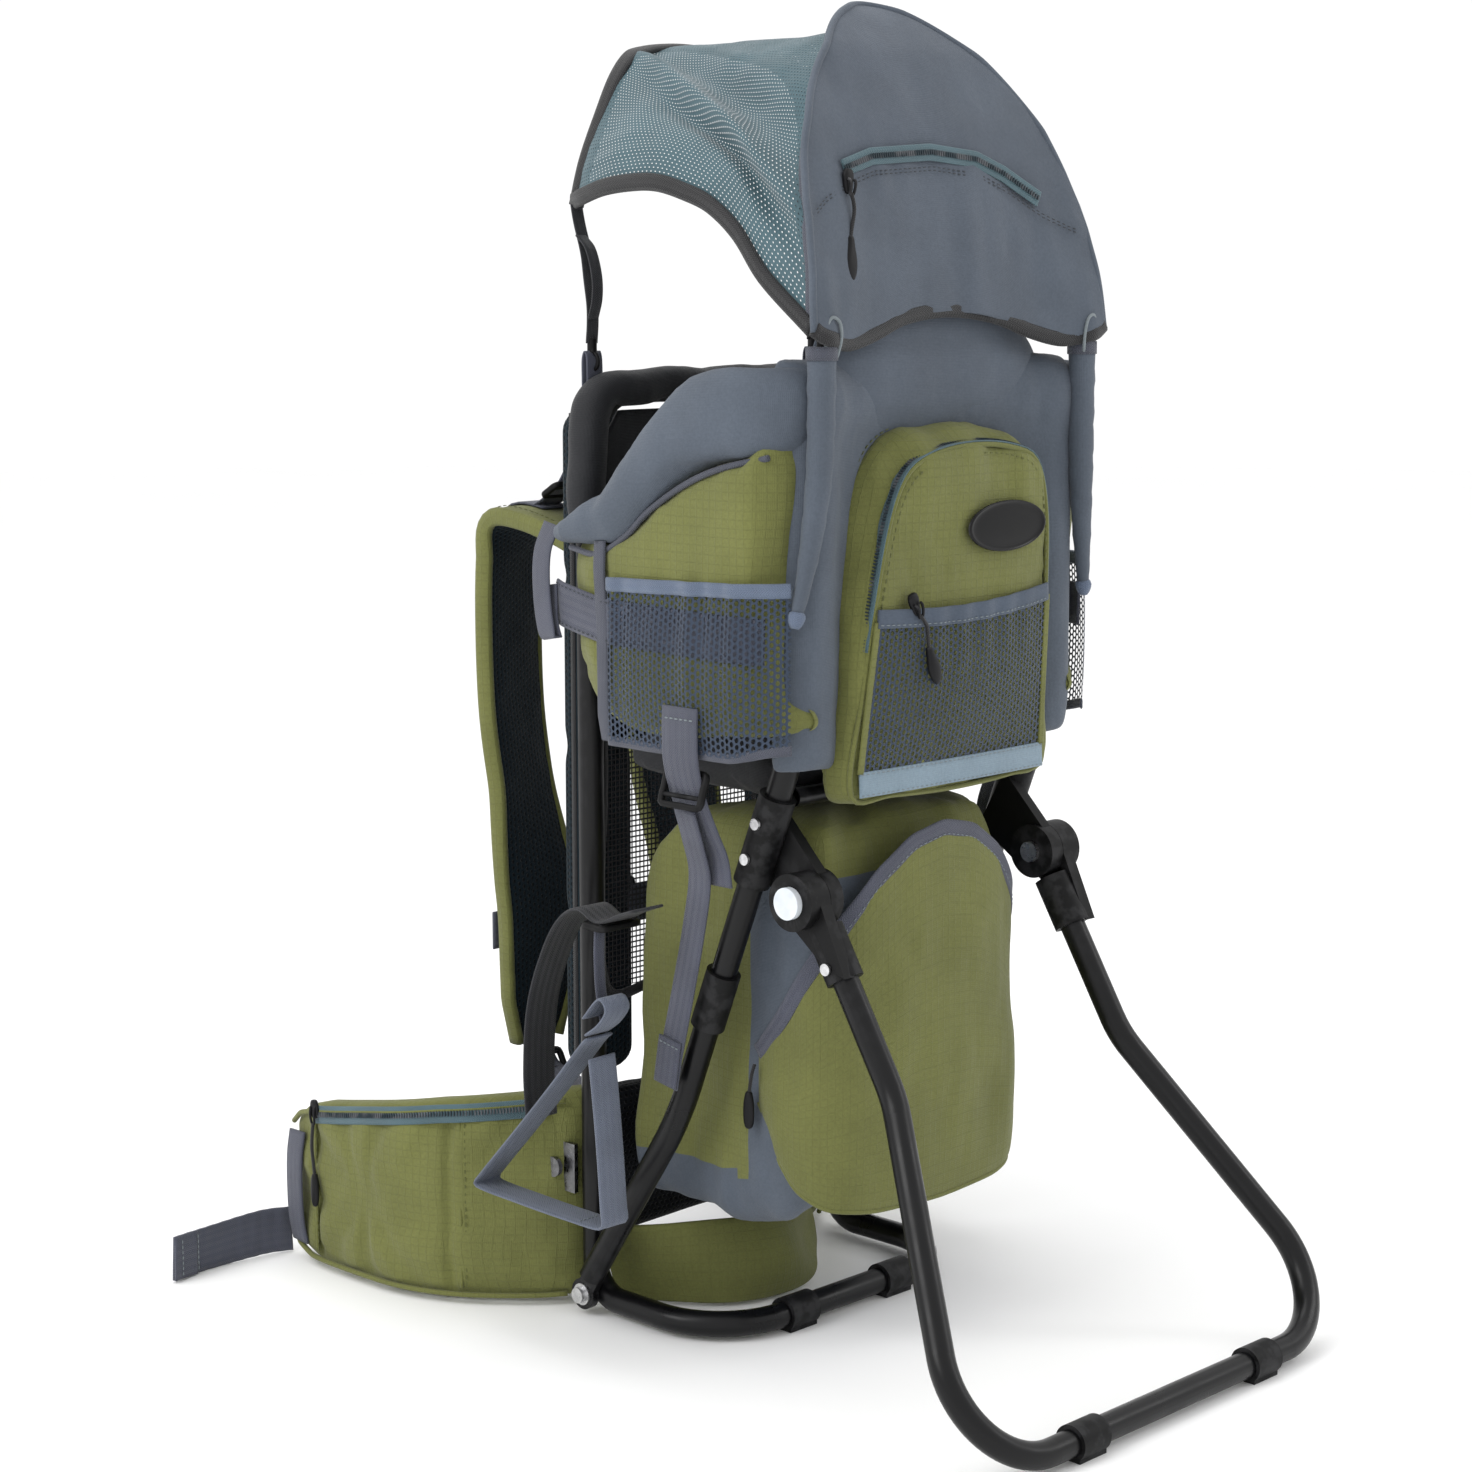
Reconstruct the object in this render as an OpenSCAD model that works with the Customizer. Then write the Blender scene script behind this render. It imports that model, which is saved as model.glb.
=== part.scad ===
// Baby carrier backpack: a hiking child carrier with a tube frame, a folding
// rear stand, a padded child seat, a cargo bag, a harness and a sun canopy.
// X runs across the pack, +Y points to the wearer, +Z is up, and the floor is Z = 0.

/* [Frame tubes] */
// Outer diameter of every frame tube
tube_d = 16; // [15:0.5:16.5]
// Wall thickness of the frame tubes
tube_wall = 1.5; // [1:0.1:2.5]
// Height of a tube's centre line where a foot clip carries it
foot_h = 10.5; // [10:0.5:12]
// Half of the width between the two upright tubes
upright_x = 112; // [110:1:114]
// Height of the frame's top bar
frame_top = 582; // [560:1:586]

/* [Folding stand] */
// Depth of the stand's foot bar behind the front foot bar
stand_y = 257; // [240:1:257]
// Half of the width between the stand's legs at the hinges
leg_x = 106; // [106:0.5:108]
// Radius of the stand's lower corners
stand_bend = 51; // [40:1:60]
// Height of the hinge axis
hinge_h = 293; // [290:1:296]

/* [Press buttons] */
// Diameter of the round press buttons
button_d = 19; // [17:0.5:19]
// How far a button can be pressed
button_stroke = 4; // [3:0.5:4]

/* [Seat] */
// Half of the width over the padded seat sides
seat_x = 150; // [146:1:152]
// Height of the seat's lower edge
seat_z = 373; // [370:1:376]
// Height of the seat's collar at the back
collar_z = 604; // [600:1:606]

/* [Canopy] */
// Half of the canopy's width
canopy_x = 128; // [124:1:130]
// Height of the canopy's top
canopy_z = 812; // [800:1:820]
// Diameter of the canopy's two support rods
rod_d = 6; // [5:0.5:6.5]

/* [Harness] */
// Width of the padded shoulder straps
strap_w = 66; // [60:1:70]
// Width of the hip belt's webbing
belt_webbing_w = 30; // [25:1:32]
// Thickness of all webbing
webbing_t = 1.6; // [1.2:0.1:2]

/* [Hidden] */
$fn = 48;

// The front foot bar lies this far behind the middle of the whole object
front_bar_y = -44.5;
// Tubes that sit in plastic sleeves have this gap all round
grip_gap = 0.02;
// Radial clearance of the hinge pins and the buttons
running_gap = 0.05;

// A bend's radius is this much over the straight tube's
bend_swell = 0.03;
// How far a straight runs into the bend at its end
straight_overlap = 0.8;

tube_r = tube_d / 2;
hinge_y = -69;
pin_r = 4;
hub_r = 17;
hub_inner_x = 97;
hub_split_x = 108;
hub_outer_x = 124.5;
button_seat_x = 117;
knee = [leg_x, -134, 185];
hinge = [leg_x, hinge_y, hinge_h];
bolt_y = 110;
bolt_z = 14;
brace_top = [108, -66];
bracket_z = 325;
clip_l = 24;
front_clip_x = 45;
rear_clip_x = 84;
rod_x = 118;
rod_y = -86;

frame_black = [0.06, 0.06, 0.07];
plastic_black = [0.1, 0.1, 0.11];
steel = [0.75, 0.75, 0.76];
olive = [0.55, 0.58, 0.34];
slate = [0.38, 0.41, 0.46];
air_mesh = [0.18, 0.26, 0.28];
visor_teal = [0.43, 0.55, 0.57];
webbing_grey = [0.29, 0.3, 0.35];
pocket_blue = [0.4, 0.46, 0.53];
black_cloth = [0.08, 0.08, 0.09];
button_white = [0.9, 0.92, 0.94];

// ---- helpers ----

// Moves a piece from the front foot bar to the middle of the object
module placed() { translate([0, front_bar_y, 0]) children(); }

// Draws a left-hand piece on both sides
module both_sides() {
  children();
  mirror([1, 0, 0]) children();
}

module right_hand() { mirror([1, 0, 0]) children(); }

function unit(v) = v / norm(v);
function into(p, i) = unit(p[i] - p[i - 1]);
function out_of(p, i) = unit(p[i + 1] - p[i]);
function turn(p, i) = acos(into(p, i) * out_of(p, i));
// Length of straight tube that the bend at point i takes away on each side
function taken(p, r, i) =
  (i == 0 || i == len(p) - 1) ? 0 : r[i] * tan(turn(p, i) / 2);
// A level direction square to z
function level(z) = abs(z[2]) > 0.9999 ? [1, 0, 0] : unit(cross(z, [0, 0, 1]));
// Euler angles of the rotation whose axes are x, y and z
function euler(x, y, z) = [atan2(y[2], z[2]), -asin(x[2]), atan2(x[1], x[0])];

// Turns a piece so that its own Z axis points along z
module aim(z) {
  x = level(z);
  rotate(euler(x, cross(z, x), z)) children();
}

module tube_bend(p, r, i, radius) {
  first = into(p, i);
  axis = unit(cross(first, out_of(p, i)));
  inward = cross(axis, first);
  centre = p[i] - first * taken(p, r, i) + inward * r[i];
  x = level(axis);
  y = cross(axis, x);
  translate(centre) aim(axis)
    rotate([0, 0, atan2(-inward * y, -inward * x)])
      rotate_extrude(angle = turn(p, i)) translate([r[i], 0]) circle(r = radius);
}

// A bar along the points p, with a bend of radius r[i] at each inner point. Each
// straight runs a little way into its bends, which are a hair fatter.
module bent_bar(p, r, radius) {
  last = len(p) - 1;
  for (i = [0:last - 1]) {
    d = out_of(p, i);
    a = p[i] + d * (taken(p, r, i) - (i > 0 ? straight_overlap : 0));
    b = p[i + 1] - d * (taken(p, r, i + 1) - (i + 1 < last ? straight_overlap : 0));
    rod(a, b, radius);
  }
  for (i = [1:last - 1]) tube_bend(p, r, i, radius + bend_swell);
}

// The same route as a hollow tube
module bent_tube(p, r) {
  difference() {
    bent_bar(p, r, tube_r);
    bent_bar(p, r, tube_r - tube_wall);
  }
}

// A rod of radius r from a to b
module rod(a, b, r) {
  translate(a) aim(unit(b - a)) cylinder(h = norm(b - a), r = r);
}

// A cylinder along X between two x values
module x_rod(x0, x1, r) {
  translate([min(x0, x1), 0, 0]) rotate([0, 90, 0]) cylinder(h = abs(x1 - x0), r = r);
}

// Outline of a strip of thickness t along the flat points p
function strip_side(p, i) =
  let (a = i > 0 ? into(p, i) : out_of(p, 0),
       b = i < len(p) - 1 ? out_of(p, i) : a,
       m = unit(a + b))
  [-m[1], m[0]] / max(0.4, a * m);
function strip(p, t) = concat(
  [for (i = [0:len(p) - 1]) p[i] + strip_side(p, i) * t / 2],
  [for (i = [len(p) - 1:-1:0]) p[i] - strip_side(p, i) * t / 2]);

// Outline with every corner of p rounded to radius r
function rounded(p, r, steps = 5) = [
  for (i = [0:len(p) - 1])
    let (n = len(p),
         a = unit(p[(i + n - 1) % n] - p[i]),
         b = unit(p[(i + 1) % n] - p[i]),
         half = acos(a * b) / 2,
         start = p[i] + a * r / tan(half),
         end = p[i] + b * r / tan(half),
         centre = p[i] + unit(a + b) * r / sin(half),
         from = atan2(start[1] - centre[1], start[0] - centre[0]),
         gap = atan2(end[1] - centre[1], end[0] - centre[0]) - from,
         sweep = gap > 180 ? gap - 360 : gap < -180 ? gap + 360 : gap)
    for (k = [0:steps])
      centre + r * [cos(from + sweep * k / steps), sin(from + sweep * k / steps)]
];

// An outline drawn in Y and Z, made solid from x0 to x1
module across(x0, x1, p) {
  translate([x0, 0, 0]) rotate([90, 0, 90]) linear_extrude(x1 - x0) polygon(p);
}

// An outline drawn in X and Z, made solid from y0 to y1
module deep(y0, y1, p) {
  translate([0, y1, 0]) rotate([90, 0, 0]) linear_extrude(y1 - y0) polygon(p);
}

// An outline drawn in X and Y, made solid from z0 to z1
module tall(z0, z1, p) {
  translate([0, 0, z0]) linear_extrude(z1 - z0) polygon(p);
}

function box2(x0, y0, x1, y1) = [[x0, y0], [x1, y0], [x1, y1], [x0, y1]];
function mirrored(p) = [for (i = [len(p) - 1:-1:0]) [-p[i][0], p[i][1]]];
function flipped(p) = [for (i = [len(p) - 1:-1:0]) [-p[i][0], p[i][1], p[i][2]]];

// ---- frame ----

frame_half = [
  [0, 114, frame_top], [upright_x - 2, 114, frame_top],
  [upright_x, 112, foot_h], [upright_x, 0, foot_h]
];

module main_frame() {
  color(frame_black) placed()
    bent_tube(concat(frame_half, flipped(frame_half)),
              [0, 35, 22, 53, 53, 22, 35, 0]);
}

brace_route = [
  [-126, 101, 28], [-115, 33, 142], [-112.5, -66, 398],
  [-brace_top[0], brace_top[1], 430], [-brace_top[0], brace_top[1], 590]
];

module brace_lug() {
  translate([-125.5, bolt_y, bolt_z]) rotate([90, 0, 90]) difference() {
    union() {
      linear_extrude(5) circle(r = 10);
      rotate([0, 0, 120]) translate([0, -7, 0]) linear_extrude(5) square([20, 14]);
    }
    translate([0, 0, -1]) cylinder(h = 7, r = 3.1);
  }
}

module brace() {
  bent_tube(brace_route, [0, 260, 60, 60, 0]);
  brace_lug();
}

module brace_left() { color(frame_black) placed() brace(); }
module brace_right() { color(frame_black) placed() right_hand() brace(); }

// Plastic sleeve where the lower and upper brace tubes join
brace_dir = unit(brace_route[2] - brace_route[1]);
function brace_at(z) =
  brace_route[1] + brace_dir * (z - brace_route[1][2]) / brace_dir[2];

module brace_ferrules() {
  color(plastic_black) placed() both_sides() difference() {
    rod(brace_at(205), brace_at(240), tube_r + 2.6);
    rod(brace_at(195), brace_at(250), tube_r + grip_gap);
  }
}

module seat_crossbar() {
  color(frame_black) placed() translate([0, -49, 350]) difference() {
    x_rod(-101.3, 101.3, 6);
    x_rod(-102, 102, 5);
  }
}

module foot_clip() {
  difference() {
    union() {
      x_rod(-clip_l / 2, clip_l / 2, tube_r + 2.5);
      translate([-clip_l / 2, -7, -foot_h]) cube([clip_l, 14, foot_h]);
    }
    x_rod(-clip_l, clip_l, tube_r + grip_gap);
  }
}

module front_foot_clips() {
  color(plastic_black) placed() both_sides()
    translate([-front_clip_x, 0, foot_h]) foot_clip();
}

// ---- hinges ----

module hinge_bracket() {
  sleeve = brace_at(bracket_z);
  difference() {
    union() {
      rod(brace_at(bracket_z - 27), brace_at(bracket_z + 27), tube_r + 3.2);
      translate([0, hinge_y, hinge_h]) x_rod(-hub_inner_x, -hub_split_x + 0.2, hub_r);
      across(-hub_split_x + 0.2, -hub_inner_x - 3, [
        [hinge_y - 13, hinge_h + 9], [hinge_y + 12, hinge_h - 11],
        [sleeve[1] + 14, bracket_z - 20], [sleeve[1] - 6, bracket_z + 16]
      ]);
    }
    rod(brace_at(bracket_z - 60), brace_at(bracket_z + 60), tube_r + grip_gap);
    translate([0, hinge_y, hinge_h]) x_rod(-hub_inner_x + 5, -hub_outer_x, pin_r);
  }
}

module hinge_bracket_left() { color(plastic_black) placed() hinge_bracket(); }
module hinge_bracket_right() {
  color(plastic_black) placed() right_hand() hinge_bracket();
}

module hinge_pins() {
  color(steel) placed() both_sides() translate([0, hinge_y, hinge_h]) {
    x_rod(-hub_inner_x, -button_seat_x + 0.5, pin_r);
    x_rod(-hub_inner_x, -hub_inner_x + 3, pin_r + 2.5);
  }
}

module bracket_rivets() {
  color(steel) placed() both_sides() for (s = [-11, 11]) {
    spot = brace_at(bracket_z + s);
    translate([-126.8, spot[1], spot[2]]) x_rod(0, 1.8, 3.4);
  }
}

module frame_bolts() {
  color(steel) placed() both_sides() translate([0, bolt_y, bolt_z]) {
    x_rod(-125.6, -126.8, 7);
    x_rod(-126.8, -130.5, 5);
    x_rod(-126.8, -120.2, 3);
  }
}

// Point on the stand's leg at a distance d from the hinge axis
leg_dir = unit(knee - hinge);
function leg_at(d) = [-leg_x, hinge[1] + leg_dir[1] * d, hinge[2] + leg_dir[2] * d];

module stand_socket() {
  socket_end = leg_at(52);
  difference() {
    union() {
      translate([0, hinge_y, hinge_h]) x_rod(-hub_outer_x, -hub_split_x - 0.2, hub_r);
      rod(leg_at(19), socket_end, tube_r + 3.3);
      across(-button_seat_x, -hub_split_x - 0.2, [
        [hinge_y - 15, hinge_h + 4], [hinge_y + 11, hinge_h - 12],
        [socket_end[1] + 9, socket_end[2] + 10], [socket_end[1] - 9, socket_end[2] + 4]
      ]);
    }
    rod(leg_at(16), leg_at(80), tube_r + grip_gap);
    translate([0, hinge_y, hinge_h]) {
      x_rod(-hub_outer_x - 1, -hub_inner_x, pin_r + running_gap);
      x_rod(-hub_outer_x - 1, -button_seat_x, button_d / 2 + running_gap);
    }
  }
}

module socket_left() { color(plastic_black) placed() stand_socket(); }
module socket_right() { color(plastic_black) placed() right_hand() stand_socket(); }

module socket_screws() {
  spot = leg_at(43);
  color(steel) placed() both_sides() translate([-leg_x - tube_r - 3.5, spot[1], spot[2]])
    x_rod(-1.6, 0, 3.6);
}

module press_button() {
  translate([0, hinge_y, hinge_h])
    x_rod(-hub_outer_x - button_stroke, -button_seat_x - button_stroke - 0.3,
          button_d / 2);
}

module press_button_left() { color(button_white) placed() press_button(); }
module press_button_right() { color(button_white) placed() right_hand() press_button(); }

// ---- stand ----

stand_half = [
  [-leg_x, leg_at(22)[1], leg_at(22)[2]], [-knee[0], knee[1], knee[2]],
  [-187, -stand_y, foot_h]
];

module stand_tube() {
  color(frame_black) placed()
    bent_tube(concat(stand_half, flipped(stand_half)),
              [0, 60, stand_bend, stand_bend, 60, 0]);
}

module rear_foot_clips() {
  color(plastic_black) placed() both_sides()
    translate([-rear_clip_x, -stand_y, foot_h]) foot_clip();
}

// ---- back system ----

module back_pads() {
  color(air_mesh) placed() both_sides()
    across(-103, -60, rounded(box2(122.6, 144, 155, 574), 8));
}

module back_mesh() {
  color(visor_teal) placed()
    deep(114.5, 116.5, rounded(box2(-100, 205, 100, 498), 12));
}

module back_panel() {
  color(black_cloth) placed()
    deep(114, 118, rounded([
      [-100, 499], [100, 499], [100, 552], [86, 570], [-86, 570], [-100, 552]
    ], 8));
}

module lumbar_pad() {
  color(black_cloth) placed()
    deep(120.6, 148, rounded(box2(-100, 30, 100, 142), 16));
}

module lumbar_bolts() {
  color(steel) placed() both_sides() translate([0, 136, 92]) {
    x_rod(-100.6, -124, 3.5);
    x_rod(-124, -127, 6.5);
    translate([-120.5, -14, -16]) cube([3, 28, 32]);
  }
}

// ---- seat ----

// Outline of the seat side seen from above, with a round rear corner
side_plan = [
  [-105, 103], [-121, 103], [-121, 112], [-141, 112], [-148, 60], [-seat_x, 20], [-seat_x, -38], [-147, -60],
  [-139, -72], [-128, -76], [-123, -70], [-123, -46], [-105, -46]
];
side_profile = [
  [-90, 388], [-60, seat_z + 4], [50, seat_z], [86, 388], [104, 410], [112, 440],
  [114, 494], [60, 505], [10, 535], [-40, 553], [-90, 560]
];
collar_profile = [
  [-90, 560.4], [-40, 553.4], [10, 535.4], [60, 505.4], [114, 494.4], [112, 506],
  [70, 524], [30, 552], [-10, 576], [-50, 594], [-90, collar_z]
];
collar_plan = [
  [-105, 103], [-121, 103], [-121, 112], [-141, 112], [-146, 60], [-146, 10], [-143, -40], [-136, -66],
  [-127, -73], [-123, -70], [-123, -52], [-105, -52]
];

module seat_side() {
  intersection() {
    tall(300, 700, side_plan);
    across(-200, 0, side_profile);
  }
}

module seat_side_left() { color(olive) placed() seat_side(); }
module seat_side_right() { color(olive) placed() right_hand() seat_side(); }

module seat_collar() {
  color(slate) placed() {
    both_sides() intersection() {
      tall(300, 700, collar_plan);
      across(-200, 0, collar_profile);
    }
    deep(-63, -48, rounded(box2(-94, 560.4, 94, collar_z), 12));
  }
}

// The rear wall, with a channel for a brace tube at each side
module seat_rear() {
  color(slate) placed() {
    deep(-63, -48, box2(-94, 362, 94, 560));
    both_sides() translate([-brace_top[0], brace_top[1], 0]) difference() {
      translate([0, 0, 432]) cylinder(h = 165, r = 13);
      translate([0, 0, 431]) cylinder(h = 162, r = tube_r + 0.3);
    }
  }
}

// A broad seat at the back that narrows to a strap between the child's legs
module seat_saddle() {
  color(black_cloth) placed() tall(368, 382, rounded([
    [-98, -47.5], [98, -47.5], [98, 0], [46, 24], [42, 113], [-42, 113], [-46, 24],
    [-98, 0]
  ], 6));
}

module side_pockets() {
  color(pocket_blue) placed() both_sides() intersection() {
    tall(381, 474, strip([[-151.4, 44], [-153, 20], [-153, -38], [-151.4, -52]], 2.4));
    across(-200, 0, box2(-52, 381, 44, 474));
  }
}

// ---- rear pocket ----

rear_pocket_outline = rounded([
  [-89, 354], [89, 354], [80, 545], [55, 571], [-55, 571], [-80, 545]
], 14);

module rear_pocket() {
  color(olive) placed() deep(-90, -63.4, rear_pocket_outline);
}

module rear_mesh_pocket() {
  color(pocket_blue) placed()
    deep(-93, -90.2, [[-79, 364], [79, 364], [75, 460], [-75, 448]]);
}

module badge() {
  color(plastic_black) placed() translate([34, -90.2, 504]) rotate([90, 0, 0])
    linear_extrude(2.4) polygon([for (a = [0:10:350]) [38 * cos(a), 15 * sin(a)]]);
}

// A cord pull that hangs from a zip slider, seen from behind
module zip_pull(length) {
  translate([0, -2.5, 0]) x_rod(-4, 4, 2.5);
  translate([-1.5, -4, -length + 20]) cube([3, 3, length - 21]);
  translate([-4, -5, -length]) cube([8, 4.5, 22]);
}

module rear_zip_pull() {
  color(plastic_black) placed() translate([-50, -93.6, 463]) rotate([0, -22, 0])
    zip_pull(48);
}

// ---- cargo bag ----

module cargo_bag() {
  color(slate) placed() intersection() {
    tall(50, 400, rounded(box2(-92, -60, 92, 102), 22));
    across(-100, 100, [
      [-60, 96], [-30, 74], [20, 62], [102, 66], [102, 300], [60, 338], [-60, 340]
    ]);
  }
}

module cargo_pocket() {
  color(olive) placed() deep(-74, -60.3, rounded([
    [-90, 100], [90, 100], [90, 240], [60, 325], [-60, 325], [-90, 240]
  ], 14));
}

// ---- straps on the sides ----

module side_straps() {
  color(webbing_grey) placed() both_sides() {
    deep(-26, 4, strip([[-156.2, 405], [-156.2, 376], [-150, 352], [-133, 318],
                        [-127.8, 296]], webbing_t));
    across(-130.4, -130.4 + webbing_t, [[-14, 330], [4, 334], [36, 168], [18, 165]]);
  }
}

module ladder_locks() {
  color(plastic_black) placed() both_sides() translate([-152.7, -11, 356])
    rotate([0, -18, 0]) translate([-4, -18, -12]) difference() {
      cube([4.2, 36, 24]);
      for (z = [4, 14]) translate([-1, 3.5, z]) cube([7, 29, 6]);
    }
}

module stirrup() {
  across(-182, -160, strip([[44, 203], [148, 92], [32, 87], [43, 198]], webbing_t));
  across(-166, -140, strip([[20, 281], [52, 268], [70, 275], [90, 262], [104, 236],
                            [116, 202], [118, 163], [116, 134]], webbing_t));
  across(-168, -160, strip([[44.9, 203], [52, 240], [52, 266.6]], webbing_t));
}

module stirrup_left() { color(webbing_grey) placed() stirrup(); }
module stirrup_right() { color(webbing_grey) placed() right_hand() stirrup(); }

// ---- harness ----

strap_x = 70;
strap_route = [
  [158, 488], [196, 499], [226, 498], [239, 484], [241, 376], [231, 312], [212, 246],
  [214, 150]
];

module shoulder_strap() {
  across(-strap_x - strap_w / 2, -strap_x + strap_w / 2, strip(strap_route, 13));
}

module shoulder_strap_left() { color(olive) placed() shoulder_strap(); }
module shoulder_strap_right() { color(olive) placed() right_hand() shoulder_strap(); }

module shoulder_webbing() {
  color(webbing_grey) placed() both_sides() {
    across(-82, -58, strip([[214, 149.5], [206, 134], [150, 120]], webbing_t));
    across(-84, -56, rounded(box2(198, 126, 204, 144), 2));
  }
}

module load_lifters() {
  color(webbing_grey) placed() both_sides()
    across(-82, -60, strip([[200, 507.5], [176, 520], [160, 548], [157, 560]],
                           webbing_t));
}

chest_z = 228;

module chest_strap() {
  color(webbing_grey) placed()
    deep(220.5, 220.5 + webbing_t, box2(-100, chest_z - 12.5, 100, chest_z + 12.5));
}

module chest_buckle() {
  color(plastic_black) placed() {
    deep(222.4, 231, rounded(box2(-32, chest_z - 17, 32, chest_z + 17), 6));
    both_sides() deep(222.4, 228, rounded(box2(-84, chest_z - 16, -58, chest_z + 16), 4));
  }
}

wing_route = [
  [-101, 164], [-132, 167], [-158, 192], [-170, 225], [-172, 305], [-162, 344]
];
wing_profile = [
  [140, 139], [200, 132], [302, 112], [334, 94], [350, 50], [344, 8], [310, 0.4],
  [190, 0.4], [140, 28]
];

module hip_wing() {
  intersection() {
    tall(0, 200, strip(wing_route, 28));
    across(-250, 0, wing_profile);
  }
}

module hip_wing_left() { color(olive) placed() hip_wing(); }
module hip_wing_right() { color(olive) placed() right_hand() hip_wing(); }

module hip_zip_slider() {
  translate([-189.6, 296, 105]) {
    cube([3, 10, 9]);
    translate([-1, 3, -46]) cube([2, 3, 47]);
    translate([-1.5, 1, -62]) cube([3, 7, 18]);
  }
}

module hip_zip_slider_left() { color(plastic_black) placed() hip_zip_slider(); }
module hip_zip_slider_right() {
  color(plastic_black) placed() right_hand() hip_zip_slider();
}

tail_route = [[-178, 347.5], [-204, 350], [-236, 352], [-272, 346]];

module belt_tail() { tall(0.4, 0.4 + belt_webbing_w, strip(tail_route, webbing_t)); }

module belt_tail_left() { color(webbing_grey) placed() belt_tail(); }
module belt_tail_right() { color(webbing_grey) placed() right_hand() belt_tail(); }

module belt_buckle() {
  color(plastic_black) placed() translate([226, 348.4, 17]) difference() {
    translate([-24, -5, -16.6]) cube([48, 13, 38]);
    translate([-25, 0, -18]) cube([50, 5, 34]);
  }
}

// ---- canopy ----

sleeve_top = 612;

module pole_sleeves() {
  color(slate) placed() both_sides() translate([-rod_x, rod_y, 0]) difference() {
    translate([0, 0, 455]) cylinder(h = sleeve_top - 455, r = 7);
    translate([0, 0, 460]) cylinder(h = sleeve_top - 459, r = rod_d / 2 + 0.4);
  }
}

module canopy_rods() {
  color(plastic_black) placed() both_sides()
    rod([-rod_x, rod_y, 524], [-rod_x, rod_y, 650], rod_d / 2);
}

// Half of the canopy's arch seen from behind, as shares of its half width and height
arch = [
  [1, 0], [0.99, 0.17], [0.95, 0.4], [0.77, 0.66], [0.55, 0.81], [0.33, 0.92],
  [0.16, 0.985], [0, 1]
];
arch_foot = 616;
function arch_line(half_width, top) =
  let (left = [for (q = arch)
               [-q[0] * half_width, arch_foot + q[1] * (top - arch_foot)]])
  concat(left, mirrored([for (i = [0:len(left) - 2]) left[i]]));
panel_profile = strip([[-80, 614], [-73, 680], [-61, 740], [-42, 782], [-17, 808],
                       [8, 813]], 4);

module canopy_panel() {
  color(slate) placed() intersection() {
    deep(-120, 40, arch_line(canopy_x, canopy_z));
    across(-140, 140, panel_profile);
  }
}

// The open mesh hood ahead of the panel
visor_z = canopy_z - 15;
module canopy_visor() {
  color(visor_teal) placed() intersection() {
    difference() {
      deep(-120, 220, arch_line(canopy_x, visor_z));
      translate([0, 0, -0.1]) deep(-121, 221, arch_line(canopy_x - 4.5, visor_z - 4));
    }
    across(-140, 140, [
      [-76.6, 622], [-50, 650], [-20, 678], [14, 697], [56, 705], [90, 702],
      [137, 694], [168, 742], [196, 800], [-15, 804], [-39.5, 779.5], [-58.5, 739],
      [-70.5, 680]
    ]);
  }
}

module canopy_straps() {
  color(webbing_grey) placed() both_sides()
    across(-104, -94, strip([[134, 691], [126, 660], [121, 630], [122.5, 614]],
                            webbing_t));
}

module canopy_hooks() {
  color(plastic_black) placed() both_sides() translate([-99, 123.3, 600]) {
    rotate([0, 90, 0]) rotate_extrude() translate([5.4, 0]) circle(r = 1.3);
    translate([0, 0, 5.4]) cylinder(h = 8.4, r = 3);
  }
}

// Webbing tabs at the frame's top corners that the canopy hooks clip to
module hook_loops() {
  color(webbing_grey) placed() both_sides() difference() {
    deep(122.3, 124.3, box2(-106, 576, -92, 603));
    deep(121, 126, box2(-103.5, 592.5, -94.5, 600));
  }
}

module canopy_zip_pull() {
  color(plastic_black) placed() translate([-86, -72.2, 704]) rotate([-7, 8, 0])
    zip_pull(60);
}

main_frame();
brace_left();
brace_right();
brace_ferrules();
seat_crossbar();
hinge_bracket_left();
hinge_bracket_right();
hinge_pins();
bracket_rivets();
frame_bolts();
front_foot_clips();
lumbar_bolts();
stand_tube();
socket_left();
socket_right();
socket_screws();
rear_foot_clips();
press_button_left();
press_button_right();
back_pads();
back_mesh();
back_panel();
lumbar_pad();
seat_side_left();
seat_side_right();
seat_collar();
seat_rear();
seat_saddle();
side_pockets();
rear_pocket();
rear_mesh_pocket();
badge();
rear_zip_pull();
cargo_bag();
cargo_pocket();
side_straps();
ladder_locks();
stirrup_left();
stirrup_right();
shoulder_strap_left();
shoulder_strap_right();
shoulder_webbing();
load_lifters();
chest_strap();
chest_buckle();
hip_wing_left();
hip_wing_right();
hip_zip_slider_left();
hip_zip_slider_right();
belt_tail_left();
belt_tail_right();
belt_buckle();
pole_sleeves();
hook_loops();
canopy_hooks();
canopy_straps();
canopy_panel();
canopy_visor();
canopy_rods();
canopy_zip_pull();
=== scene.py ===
"""Looks of a baby carrier backpack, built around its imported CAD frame.

Routes and outlines are in millimetres, with Y measured from the front foot bar, as in the part's source.
"""
import math

import bmesh
import bpy
import numpy as np
from mathutils import Matrix, Vector


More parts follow.
